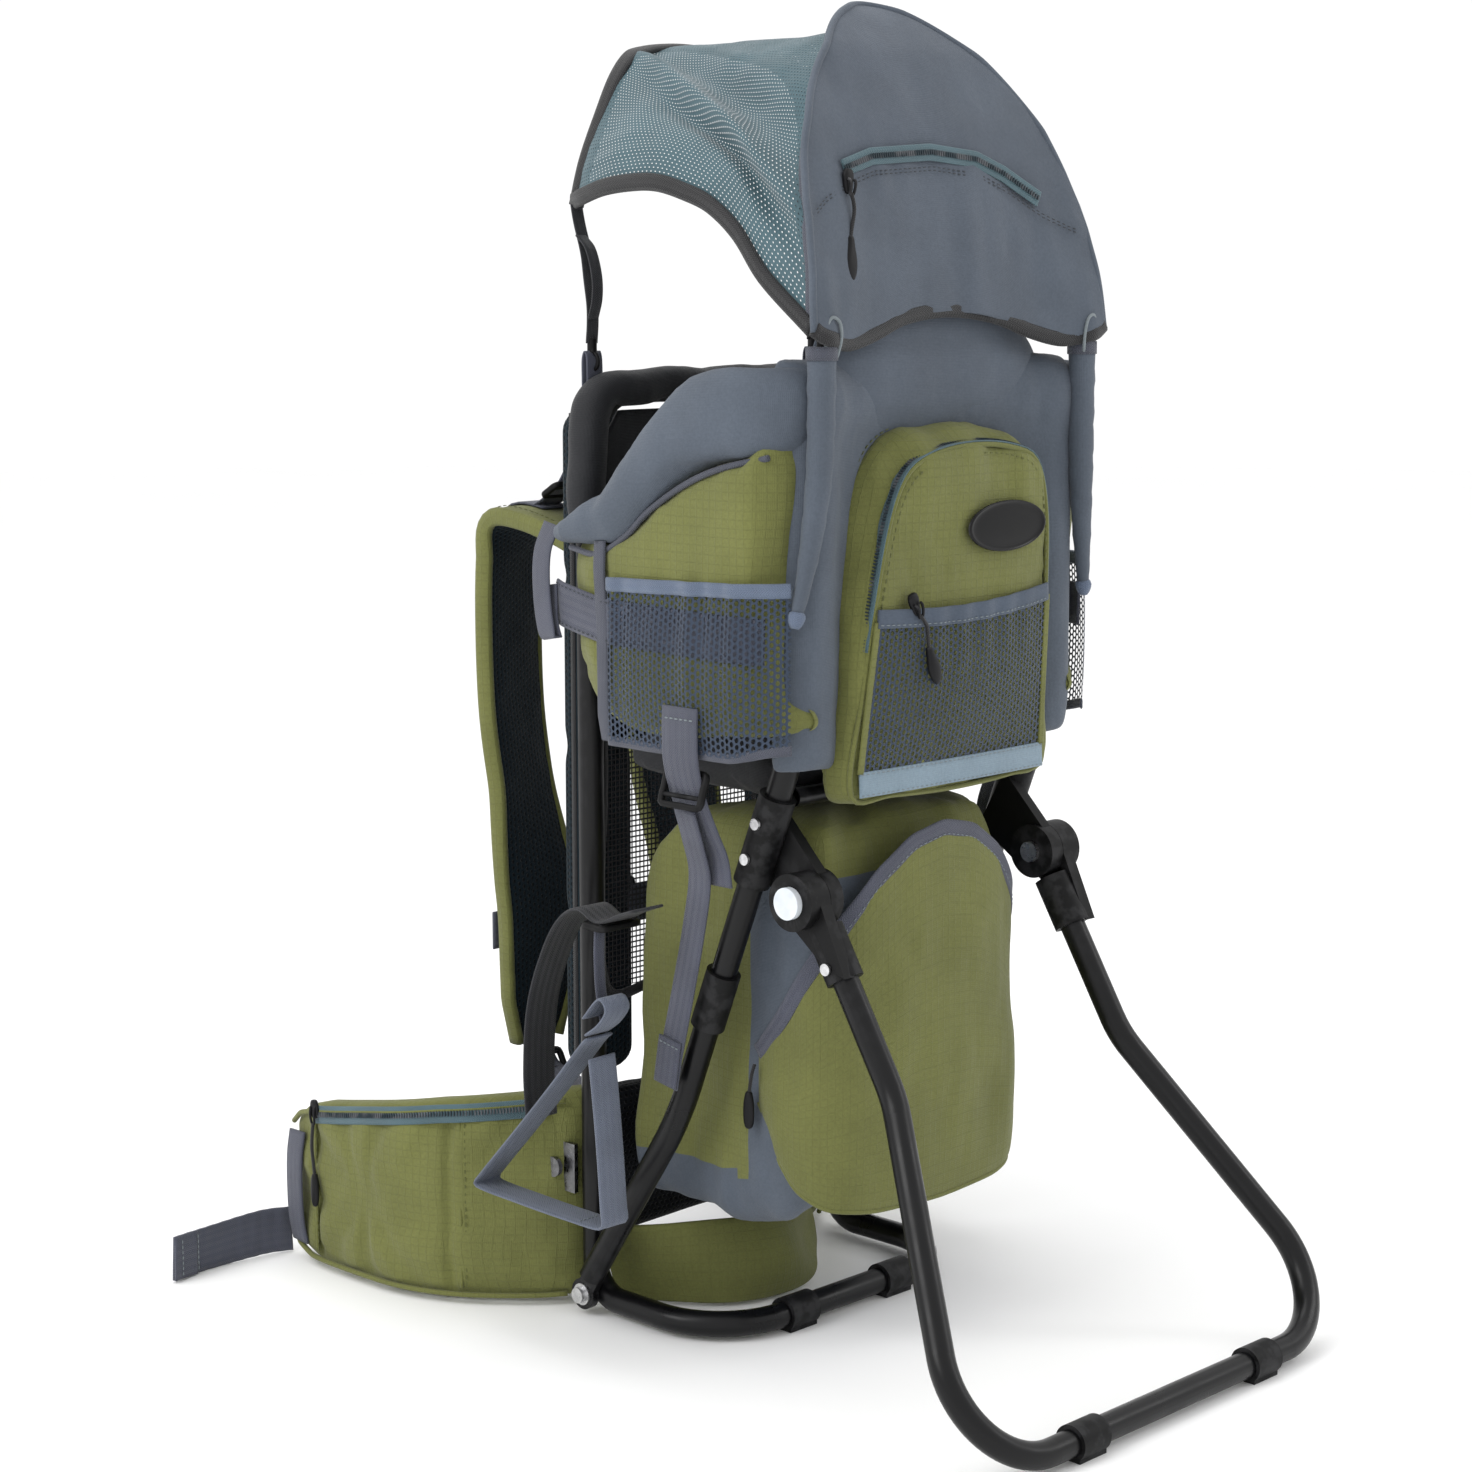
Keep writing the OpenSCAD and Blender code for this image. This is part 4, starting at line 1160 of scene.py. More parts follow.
def side_route(ys, zs, out):
    """A route over the near seat side's outer face."""
    fine = np.linspace(112, -77, 400)
    x = -np.interp(fine, PLAN[::-1, 0], -PLAN[::-1, 1])
    k = np.exp(-np.linspace(-2, 2, 25) ** 2)
    x = np.convolve(np.pad(x, 12, mode="edge"), k / k.sum(), mode="valid")
    t = unit(np.stack([np.gradient(x), np.gradient(fine)], 1))
    nx, ny = t[:, 1], -t[:, 0]
    ys = np.asarray(ys, float)
    bx = np.interp(-ys, -fine, x)
    ox = np.interp(-ys, -fine, nx)
    oy = np.interp(-ys, -fine, ny)
    out = np.broadcast_to(out, ys.shape)
    zs = np.broadcast_to(zs, ys.shape)
    return np.stack([bx + ox * out, ys + oy * out, zs], -1)


def side_bands():
    """Webbing over the near seat side: the level band, the upright binding and the folded tab."""
    made = []
    ys = np.linspace(110, -66, 80)
    band = side_route(ys, np.interp(ys, [-66, 60, 110], [446, 449, 457]), 1.6)
    made.append(sweep("seat_side_band", band, tape(27, 1.8), (0, 0, 1), M["webbing"]))
    for k, dz in enumerate((11.4, -11.4)):
        made.append(stitches(f"seat_band_stitch_{k}", band[:36] + (0, 0, dz) + np.array([-1.1, 0, 0]),
                             (-1, 0, 0),
                             M["dark_thread"], 2.6, 1.9, 0.7, 0.3))
    zs = np.linspace(496, 377, 60)
    rib = side_route(np.interp(zs, [377, 450, 496], [59, 60, 64]), zs, 2.4)
    rib[:, 0] += np.interp(zs, [377, 392, 480, 496], [3.5, 0.5, 0.5, 2.5])
    made.append(sweep("seat_side_binding", rib, tape(9.5, 2.2), (0, 1, 0), M["grey_binding"]))
    fold = spline([(-138, 118, 503), (-143.5, 121, 486), (-148, 117, 462), (-149.5, 111, 438),
                   (-147, 109, 434),
                   (-145.5, 113, 446), (-143, 116, 466)], 50)
    made.append(sweep("seat_side_tab", fold, tape(18, 1.6), (0.15, 1, 0), M["webbing"]))
    return made


def side_net():
    """The near side's gathered net pocket, with its elastic hem and the tape at its foot."""
    ys = np.linspace(54, -76, 92)
    u = np.linspace(0, 1, 92)
    v = np.linspace(0, 1, 30)
    rows = []
    for q in v:
        z = 378 + (470 + 4 * u - 378) * q + 6 * (1 - q) * (smoothstep(0.75, 1, u))
        gather = np.sin(u * 40 + 1.5 * np.sin(u * 9)) * 0.8 + np.sin(u * 23 + 2) * 1.0
        out = 3.4 + 3.2 * math.sin(math.pi * min(1, q * 1.05)) * np.sin(np.pi * u) ** 0.5 \
            + gather * (0.35 + 0.9 * q) * np.sin(np.pi * u) ** 0.4
        rows.append(side_route(ys, z, out))
    rows = np.array(rows)
    net_ob = grid("side_net_left", rows, M["pocket_net"])
    subdivide(net_ob)
    hem = sweep("side_net_hem_left", rows[-1] + (0, 0, 1.5), tape(8.5, 2.2), (0, 0, 1), M["elastic"])
    foot = sweep("side_net_foot_left", rows[0] + (0.8, 0, 0), tape(6, 1.6), (0, 0, 1), M["grey_binding"])
    return net_ob, hem, foot


def side_trim():
    """Trim and net pocket on both seat sides."""
    made = side_bands()
    net_ob, hem, foot = side_net()
    for ob in made + [net_ob, hem, foot]:
        name = ob.name
        other = mirror(ob, name.replace("left", "right") if "left" in name else name + "_right")
        nodes = ["side_pockets"] if ob is net_ob else []
        slot = "pocket_mesh" if ob is net_ob else ("webbing" if "band" in name or "tab" in name else None)
        place(ob, "pack", nodes, slot)
        place(other, "pack", nodes, slot)


def seat_base():
    """The padded saddle that the child sits on."""
    saddle = prism("seat_saddle_pad", spline([(-94, -44), (0, -46), (94, -44), (95, -3), (50, 22),
                                              (40, 60), (40, 108),
                                              (0, 110), (-40, 108), (-40, 60), (-50, 22), (-95, -3)], 90,
                                              True),
                   2, 370.5, 379.5)
    inflate(saddle, 6.0, 3.0, 3.0, frames=12)
    crumple(saddle, 0.8, 24, 41)
    finish_cloth(saddle, M["black_cloth"])
    place(saddle, "pack", ["seat_saddle"], "black_fabric")


def back_window():
    """The black lining behind the child's head and the open net below it."""
    xs = np.linspace(-99, 99, 41)[None, :]
    zs = np.linspace(0, 1, 17)[:, None]
    zz = 499 + zs * (np.interp(np.abs(xs), [0, 84, 99], [71, 71, 52]))
    yy = 116 + 1.5 * np.sin(np.pi * (xs + 99) / 198) + 0.5 * np.sin(xs / 9 + zz / 14)
    lining = grid("back_lining", np.stack([xs + 0 * zz, yy + 0 * zz, zz], -1), M["black_cloth"])
    thicken(lining, 2.2)
    place(lining, "pack", ["back_panel"], "black_fabric")
    zz = 206 + zs * 291 + 0 * xs
    yy = 115.5 + 0.0 * zz - 1.0 * np.sin(np.pi * zs) * np.sin(np.pi * (xs + 99) / 198)
    window = grid("back_window", np.stack([xs + 0 * zz, yy, zz], -1), M["window"])
    place(window, "pack", ["back_mesh"], "window_mesh")
    rim = spline([(-99, 115.5, 210), (-99, 115.5, 350), (-99, 115.5, 494), (-50, 115.5, 498),
                  (50, 115.5, 498),
                  (99, 115.5, 494), (99, 115.5, 350), (99, 115.5, 210), (50, 115.5, 205),
                  (-50, 115.5, 205)], 160, True)
    window_rim = sweep("back_window_rim", rim, oval(4, 7, 10), (0, 1, 0), M["binding"], closed=True)
    place(window_rim, "pack")


def lining_wrap():
    """Black lining folded over the frame's top."""
    bend = both([(-112.5, 113.5, 505), (-112.6, 113.5, 535), (-111.5, 113.8, 560), (-103, 114, 577),
                 (-90, 114, 583),
                 (-45, 114, 585), (0, 114, 584)])
    route = spline(bend, 90)
    route[:, 1:] += 0.8 * np.sin(np.linspace(0, 38, 90))[:, None]
    wrap = sweep("back_lining_wrap", route, oval(25, 23, 14, 2.3), (0, 1, 0), M["black_cloth"])
    subdivide(wrap)
    crumple(wrap, 1.0, 17, 43)
    place(wrap, "pack", (), "black_fabric")


def seat_underside():
    """The black cloth below the saddle."""
    under = prism("seat_underside", spline([(-98, -42), (0, -43), (98, -42), (101, 20), (99, 92),
                                            (60, 102), (0, 103),
                                            (-60, 102), (-99, 92), (-101, 20)], 90, True), 2, 350, 371)
    inflate(under, 6.0, 3.0, 5.0, frames=12)
    crumple(under, 1.2, 26, 45)
    finish_cloth(under, M["black_cloth"])
    place(under, "pack", (), "black_fabric")


def head_panel():
    """The slate cloth that goes from the rear wall up into the canopy."""
    u = np.linspace(-1, 1, 61)[None, :]
    zz = np.linspace(560, 641, 30)[:, None] + 0 * u
    zz = zz - 12 * np.abs(u) ** 6 * smoothstep(600, 641, zz)
    half = np.interp(np.linspace(560, 641, 30)[:, None], [560, 590, 612, 641], [108, 103, 98, 86])
    yy = np.interp(zz, [560, 578, 592, 604, 614, 641],
                   [-66, -73, -75, -74, -70.5, -67]) + 12 * np.abs(u) ** 5
    flat = np.stack([(u * half).ravel(), yy.ravel(), zz.ravel()], 1)
    yy = yy - 1.2 * noise(flat * (1, 1, 0.7), 26, 47, 2).reshape(yy.shape) * smoothstep(616, 606, zz)
    head = grid("head_panel", np.stack([u * half, yy, zz], -1), M["slate"])
    thicken(head, 3.0)
    subdivide(head)
    place(head, "pack", (), "slate_fabric")


def pole_sleeves():
    """Sleeves for the canopy's rods, with their knotted ends and the cord loops at the top."""
    path = spline([(-118, -86, 611), (-118.3, -86, 575), (-119.5, -85.6, 540), (-124, -83.4, 500),
                   (-131, -80, 462)], 40)
    z = path[:, 2]
    wide = np.interp(z, [462, 500, 540, 600, 611], [7.5, 12.5, 15.6, 16.8, 18.0])
    crinkle = 1 + 0.03 * np.sin(z / 3.1) + 0.02 * np.sin(z / 1.7 + 1)
    sections = np.array([oval(w * c, w * 0.92 * c, 14, 2.2) for w, c in zip(wide, crinkle)])
    sleeve = sweep("pole_sleeve_left", path, sections, (1, 0, 0), M["slate"])
    hem = sweep("pole_sleeve_hem_left", path[:3] + (0, 0, 1.0), oval(19, 18, 16), (1, 0, 0),
                M["grey_binding"])
    knot = sweep("pole_sleeve_knot_left", spline([(-130.6, -80.2, 464), (-131.6, -79.8, 459),
                                                  (-132.6, -79.4, 454)], 7),
                 np.array([oval(w, w, 12) for w in (6, 9.5, 10.5, 10, 9, 7.5, 5)]), (1, 0, 0), M["elastic"])
    loop, loop_path = cord_tube("pole_cord_left",
                                [(-112, -92, 606), (-110.5, -94, 617), (-113, -94.5, 626), (-119, -94, 628),
                                           (-122.5, -93, 619), (-120.5, -92, 607)], 1.0, M["thread"], 30)
    for ob in (sleeve, hem, knot, loop):
        other = mirror(ob, ob.name.replace("left", "right"))
        nodes = ["pole_sleeves"] if ob is sleeve else []
        place(ob, "pack", nodes, "slate_fabric" if nodes else None)
        place(other, "pack", nodes, "slate_fabric" if nodes else None)
        if ob is loop:
            for piece, route in ((ob, loop_path), (other, flip_x(loop_path))):
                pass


# ---- cargo bag ----

def cargo_bag():
    """The sagging bag below the seat: slate base, olive sides and lid."""
    plan = np.array([(-88, 98), (-92, 80), (-93, 20), (-92, -34), (-84, -56), (-60, -60), (0, -61)], float)
    half = np.array([(x, y, 0) for x, y in plan])
    front = [(-70, 101, 0), (0, 102, 0)]
    loop = np.vstack([spline(np.vstack([front[::-1], half]), 60),
                      flip_x(spline(np.vstack([front[::-1], half]), 60))[::-1][1:-1]])
    levels = [(0.0, 0.3), (0.012, 0.72), (0.035, 0.9), (0.08, 0.975), (0.15, 1.0), (0.3, 1.005),
              (0.45, 1.0), (0.6, 0.99),
              (0.75, 0.985), (0.86, 0.975), (0.93, 0.95), (0.97, 0.88), (0.99, 0.7), (1.0, 0.3)]
    rows = []
    for h, g in levels:
        ring = loop.copy()
        y = ring[:, 1]
        low = np.interp(y, [-60, -30, 20, 102], [92, 75, 64, 68])
        high = np.interp(y, [-60, 60, 102], [340, 337, 302])
        ring[:, 2] = low + (high - low) * h
        ring[:, 0] *= g
        ring[:, 1] = 20 + (y - 20) * g
        rows.append(ring)
    bag = outward(grid("cargo_bag_shell", np.array(rows), M["slate"], closed=True, caps=True))
    subdivide(bag, 2)
    apply_all(bag)
    p = points_of(bag)
    sag = 4.4 * noise(p * (1, 1, 0.55), 48, 51, 2) + 2.2 * noise(p * (1, 1, 0.5), 20, 55, 2)
    diagonal = 1.3 * np.sin((p[:, 1] * 0.6 + p[:, 2]) / 13.0) * smoothstep(40, 90, np.abs(p[:, 0])) \
        * smoothstep(0.1, 0.7, lattice_noise(p / 60.0, 9))
    push(bag, np.clip(sag + diagonal - 2.2, -8, 3.5))
    p = points_of(bag)
    over = p[:, 1] > 103
    p[over, 1] = 103
    p[:, 0] = np.clip(p[:, 0], -97, 97)
    move_points(bag, p)
    bag.data.materials.clear()
    bag.data.materials.append(M["slate"])
    bag.data.materials.append(M["olive_plain"])
    for f in bag.data.polygons:
        c = f.center
        y, z = c.y / MM - BAR_Y / MM, c.z / MM
        side_panel = abs(f.normal.x) > 0.55 and y > -4 and z > 108
        lid = z > 292 + 0.08 * abs(c.x / MM) and f.normal.y < 0.5
        f.material_index = 1 if side_panel or lid else 0
    box_uv(bag)
    place(bag, "pack", ["cargo_bag"], "slate_fabric")


def cargo_pocket():
    """The arched pocket on the bag, its webbing trim, stitches and small fixed pull."""
    plan = spline([(-94.5, -12, 0), (-95.5, -34, 0), (-92, -54, 0), (-80, -67, 0), (-56, -74, 0),
                   (-20, -77, 0), (0, -77.5, 0)], 56)
    plan = np.vstack([plan, flip_x(plan)[::-1][1:]]) * (0.95, 1, 1)
    run = lengths(plan)
    s = run / run[-1]
    mid = np.minimum(s, 1 - s) * run[-1]
    top = np.interp(mid, [0, 22, 45, 62, 84, 110, 148], [186, 214, 252, 276, 300, 317, 325])
    k = np.exp(-np.linspace(-2, 2, 9) ** 2)
    top = np.convolve(np.pad(top, 4, mode="edge"), k / k.sum(), mode="valid")
    low = np.interp(mid, [0, 10, 30, 50, 80, 148], [160, 134, 108, 98, 94, 92])
    low = np.convolve(np.pad(low, 4, mode="edge"), k / k.sum(), mode="valid")
    t = unit(np.gradient(plan, axis=0))
    out = np.stack([t[:, 1], -t[:, 0], 0 * t[:, 0]], 1)
    if out[len(out) // 2, 1] > 0:
        out = -out
    v = np.linspace(0, 1, 46)[:, None]
    z = low + (top - low) * v
    body = np.sin(np.pi * np.clip(v, 0, 1)) ** 0.5 * np.sin(np.pi * s) ** 0.35
    flat = np.stack([np.broadcast_to(plan[:, 0], z.shape), np.broadcast_to(plan[:, 1], z.shape), z], -1)
    fold = 2.7 * noise(flat.reshape(-1, 3) * (1, 1, 0.45), 34, 61, 3).reshape(z.shape)
    hang = 2.2 * np.sin(s * 34 + 2.2 * v) * smoothstep(0.75, 0.15, v) * smoothstep(0.35, 0.8, s) * 0.6
    shell = flat + out[None] * ((0.8 + 4.2 * body + (fold + hang) * np.sin(np.pi * v) ** 0.4)[..., None])
    pocket = grid("cargo_pocket_bag", shell, M["olive_plain"])
    thicken(pocket, 2.4)
    subdivide(pocket)
    place(pocket, "pack", ["cargo_pocket"], "olive_fabric")
    rim = shell[-1] + out * 1.2
    trim = sweep("cargo_pocket_trim", spline(rim, 130), tape(10.5, 2.0), (0, 0, 1), M["webbing"])
    seam = sweep("cargo_pocket_seam", spline(shell[0] + out * 0.6, 120), oval(3.2, 2.6, 8), (0, 0, 1),
                 M["olive_plain"])
    place(trim, "pack", (), "webbing")
    place(seam, "pack")
    place(stitches("cargo_trim_stitch", spline(rim, 130) + np.array([0, 0, -3.6]) + np.repeat(
        [[0, -1.3, 0]], 130, axis=0), (0, -1, 0), M["thread"], 2.4, 1.9, 0.6, 0.3), "pack")
    # small hanging pull at the pocket's near end
    pull, _ = cord_tube("cargo_pull_cord", [(-98, -15, 182), (-99.5, -14, 176), (-99, -12, 168),
                                            (-99, -11, 163)], 1.1, M["cord"], 16)
    grip = sweep("cargo_pull_grip", [(-99, -11, z) for z in (165, 162, 157, 150, 144, 141)],
                 np.array([oval(w, 4.2, 12, 2.3) for w in (3.5, 6, 8.5, 9, 8, 3)]), (0, 1, 0),
                 M["soft_plastic"])
    place(pull, "pack")
    place(subdivide(grip), "pack")


# ---- back system and harness ----

def back_system():
    """The two back pads, their seams and the lumbar cushion."""
    zs = np.linspace(146, 572, 70)
    path = np.stack([np.full(70, -81.5), np.full(70, 139.5), zs], 1)
    end = np.clip(np.minimum(zs - 146, 572 - zs) / 12, 0, 1) ** 0.5
    seam = sum(np.exp(-((zs - q) / 4.5) ** 2) for q in (252, 359, 466))
    wide = 41 * (0.55 + 0.45 * end)
    deep = 30 * (0.35 + 0.65 * end) * (1 - 0.3 * seam)
    sections = np.array([oval(w, d, 24, 3.4) for w, d in zip(wide, deep)])
    pad = sweep("back_pad_left", path, sections, (1, 0, 0), M["air"])
    subdivide(pad)
    rim = []
    for x in (-61.5, -101.5):
        rim.append(sweep(f"back_pad_seam_{int(-x)}",
                         np.stack([np.full(60, x), np.full(60, 139.5), np.linspace(150, 568, 60)], 1),
                         oval(2.8, 5, 8), (1, 0, 0), M["binding"]))
    for ob in [pad] + rim:
        other = mirror(ob, ob.name.replace("left", "right") if "left" in ob.name else ob.name + "_right")
        nodes = ["back_pads"] if ob is pad else []
        place(ob, "pack", nodes, "air_mesh" if nodes else None)
        place(other, "pack", nodes, "air_mesh" if nodes else None)
    lumbar = prism("lumbar_cushion", spline([(-94, 38), (0, 35), (94, 38), (96, 86), (92, 134), (0, 137),
                                             (-92, 134),
                                             (-96, 86)], 80, True), 1, 127, 142)
    inflate(lumbar, 6.0, 4.0, 5.0, frames=16)
    p = points_of(lumbar)
    groove = sum(np.exp(-((p[:, 0] - q) / 4.0) ** 2) for q in (-48, 0,
                                                               48)) + np.exp(-((p[:, 2] - 86) / 4.0) ** 2)
    p[:, 1] -= 3.4 * np.clip(groove, 0, 1) * smoothstep(132, 142, p[:, 1])
    move_points(lumbar, p)
    finish_cloth(lumbar, M["black_air"])
    place(lumbar, "pack", ["lumbar_pad"], "air_mesh")


STRAP = [(150, 484), (170, 493), (196, 499), (218, 499), (231, 486), (236, 460), (235, 376), (224, 312),
         (212, 252),
         (212, 200), (213.5, 152)]


def strap_side(path):
    """The strap's width turns to face a little towards the near side above the chest strap."""
    a = math.radians(17) * smoothstep(250, 330, path[:, 2]) * smoothstep(505, 470, path[:, 2])
    return np.stack([np.cos(a), np.sin(a), 0 * a], 1)


def strap_path(x, count=80, out=0.0):
    flat = spline(STRAP, count)
    t = unit(np.gradient(flat, axis=0))
    normal = np.stack([-t[:, 1], t[:, 0]], 1)
    if normal[count // 2, 0] < 0:
        normal = -normal
    flat = flat + normal * out
    return np.stack([np.full(count, x), flat[:, 0], flat[:, 1]], 1)


def harness():
    """Shoulder straps, their webbing and locks, load lifters and the chest strap."""
    path = strap_path(-70.0)
    run = lengths(path) / lengths(path)[-1]
    wide = np.interp(run, [0, 0.06, 0.3, 0.75, 0.93, 1], [52, 62, 65, 62, 54, 38])
    thick = np.interp(run, [0, 0.03, 0.1, 0.9, 0.97, 1], [5, 9, 12.6, 12.6, 9, 4])
    sections = np.array([oval(w, t, 26, 4.2) for w, t in zip(wide, thick)])
    side = strap_side(path)
    strap = sweep("shoulder_strap_left_pad", path, sections, side, [M["olive"], M["air"]])
    for f in strap.data.polygons:
        if f.index < (len(path) - 1) * 26 and f.index % 26 < 13:
            f.material_index = 1
    subdivide(strap)
    apply_all(strap)
    crumple(strap, 0.7, 20, 71)
    extra = []
    for k, s in enumerate((-1, 1)):
        edge = path + side * (s * (wide / 2 - 1.6))[:, None]
        extra.append(sweep(f"shoulder_strap_left_edge_{k}", edge, oval(6.5, 12.0, 12, 2.6), side,
                           M["olive_plain"]))
        row = strap_path(-70.0, 80, 6.4) + side * (s * (wide / 2 - 8))[:, None]
        away = unit(strap_path(-70.0, 80, 8) - strap_path(-70.0, 80, 0))
        extra.append(stitches(f"shoulder_strap_left_stitch_{k}", row[4:-4], away[4:-4], M["olive_thread"]))
    front = strap_path(-70.0, 80, 7.6)[8:72]
    extra.append(sweep("shoulder_strap_left_webbing", front, tape(24, 1.6), side[8:72], M["webbing"]))
    lower = spline([(-70, 214.5, 158), (-70, 213, 149), (-70, 207.5, 137), (-70, 196, 131.5),
                    (-70, 172, 126), (-70, 151, 120)], 40)
    webbing = sweep("shoulder_webbing_left", lower, tape(24, 1.6), (1, 0, 0), M["webbing"])
    lock = ladder_lock("shoulder_lock_left", (-70, 203.5, 135.5), (1, 0, 0), (0, 0.5, 0.86), 32, 21)
    lift = spline([(-71, 199, 506.5), (-71, 187, 513), (-71, 174, 523), (-71, 163, 541),
                   (-71, 157.5, 560)], 40)
    lifter = sweep("load_lifter_left", lift, tape(22, 1.6), (1, 0, 0), M["webbing"])
    lift_lock = ladder_lock("load_lifter_lock_left", (-71, 180, 517.5), (1, 0, 0), (0, 0.85, -0.5), 30, 18)
    for ob, nodes, slot in [(strap, ["shoulder_strap"], "olive_fabric"),
                            (webbing, ["shoulder_webbing"], "webbing"),
                            (lifter, ["load_lifters"], "webbing"), (lock, [], "black_plastic"),
                            (lift_lock, [], "black_plastic")] + [(e, [], None) for e in extra]:
        other = mirror(ob, ob.name.replace("left", "right"))
        for piece, side in ((ob, "left"), (other, "right")):
            names = [n + "_" + side if n == "shoulder_strap" else n for n in nodes]
            place(piece, "pack", names, slot)

    xs = np.linspace(-100, 100, 90)
    band = np.stack([xs, 221.3 + 0.25 * np.sin(xs / 19), 228 + 0 * xs], 1)
    chest = sweep("chest_strap_webbing", band, tape(25, 1.6), (0, 0, 1), M["webbing"])
    place(chest, "chest", ["chest_strap"], "webbing")
    buckle = release_buckle("chest_buckle_shell", (0, 226.8, 228), (1, 0, 0), (0, 0, 1), 64, 34, 8.6)
    place(buckle, "chest", ["chest_buckle"], "black_plastic")
    for s, name in ((LEFT, "left"), (RIGHT, "right")):
        glide = ladder_lock(f"chest_glide_{name}", (s * 71, 225.2, 228), (0, 0, 1), (1, 0, 0), 32, 24)
        place(glide, "chest")


def ladder_lock(name, centre, wide_dir, long_dir, width, length, thick=4.2):
    """A moulded strap adjuster: a rounded frame with two bars across it."""
    c = np.asarray(centre, float)
    w, l = unit(np.asarray(wide_dir, float)), unit(np.asarray(long_dir, float))
    n = np.cross(w, l)
    def spot(a, b, h=0.0):
        return c + w * a + l * b + n * h
    a, b = width / 2 - 2, length / 2 - 2
    rim = [spot(-a, -b + 2), spot(-a, 0), spot(-a, b - 2), spot(-a + 2, b), spot(0, b), spot(a - 2, b),
           spot(a, b - 2), spot(a, 0),
           spot(a, -b + 2), spot(a - 2, -b), spot(0, -b), spot(-a + 2, -b)]
    parts = [sweep(name, spline(rim, 64, True), oval(thick, 4.0, 10, 2.8), n, M["plastic"], closed=True)]
    for k, q in enumerate((-0.18, 0.34)):
        parts.append(sweep(f"{name}_bar_{k}", [spot(-a, q * length), spot(0, q * length, 0.8),
                                               spot(a, q * length)],
                           oval(3.4, 3.0, 10), n, M["plastic"]))
    return join(name, parts)


def release_buckle(name, centre, long_dir, wide_dir, length, width, thick):
    """A side-release buckle: a waisted shell, a male end with its two prongs, and web bars."""
    c = np.asarray(centre, float)
    l, w = unit(np.asarray(long_dir, float)), unit(np.asarray(wide_dir, float))
    n = np.cross(l, w)
    def body(tag, s0, s1, widths, thicks, count=10):
        s = np.linspace(s0, s1, count)
        at_w = np.interp(np.linspace(0, 1, count), np.linspace(0, 1, len(widths)), widths)
        at_t = np.interp(np.linspace(0, 1, count), np.linspace(0, 1, len(thicks)), thicks)
        return sweep(f"{name}_{tag}", [c + l * q for q in s],
                     np.array([oval(a, b, 20, 4.5) for a, b in zip(at_w, at_t)]),
                     w, M["plastic"])
    half = length / 2
    parts = [body("shell", -half * 0.62, half * 0.2, [width * 0.9, width, width * 0.98, width * 0.9],
                  [thick * 0.8, thick, thick, thick * 0.85]),
             body("tongue", half * 0.16, half * 0.34, [width * 0.62, width * 0.6],
                  [thick * 0.5, thick * 0.5], 4),
             body("male", half * 0.32, half * 0.72, [width * 0.94, width, width * 0.9],
                  [thick * 0.7, thick * 0.85, thick * 0.6])]
    for k, s in enumerate((-1, 1)):
        prong = [c + l * half * 0.36 + w * s * width * 0.4, c + l * half * 0.1 + w * s * width * 0.5,
                 c - l * half * 0.12 + w * s * width * 0.5, c - l * half * 0.22 + w * s * width * 0.42]
        parts.append(sweep(f"{name}_prong_{k}", spline(prong, 12), oval(3.2, thick * 0.6, 10, 3), w,
                           M["plastic"]))
    for k, q in enumerate((-half * 0.94, half * 0.94)):
        rim = [c + l * (q * 0.66) + w * width * 0.44, c + l * q + w * width * 0.44, c + l * q,
               c + l * q - w * width * 0.44,
               c + l * (q * 0.66) - w * width * 0.44]
        parts.append(sweep(f"{name}_bar_{k}", spline(rim, 30), oval(3.6, thick * 0.5, 10, 3), n,
                           M["plastic"]))
    return join(name, parts)


# ---- hip belt ----

WING = [(-96, 134), (-113, 144), (-136, 165), (-157, 192), (-170, 225), (-173, 268), (-172, 305),
        (-163, 342)]


def wing_top(y):
    return np.interp(y, [130, 200, 302, 322, 334, 342, 348], [141, 132, 112.4, 106, 97, 84, 66])


def wing_low(y):
    return np.interp(y, [125, 150, 190, 310, 328, 340, 348], [5, 2.6, 2.2, 2.2, 6, 18, 36])


def wing_line(count):
    line = spline([(x, y, 0) for x, y in WING], count)
    t = unit(np.gradient(line, axis=0))
    out = np.stack([-t[:, 1], t[:, 0], 0 * t[:, 0]], 1)
    if out[count // 2, 0] > 0:
        out = -out
    return line, out


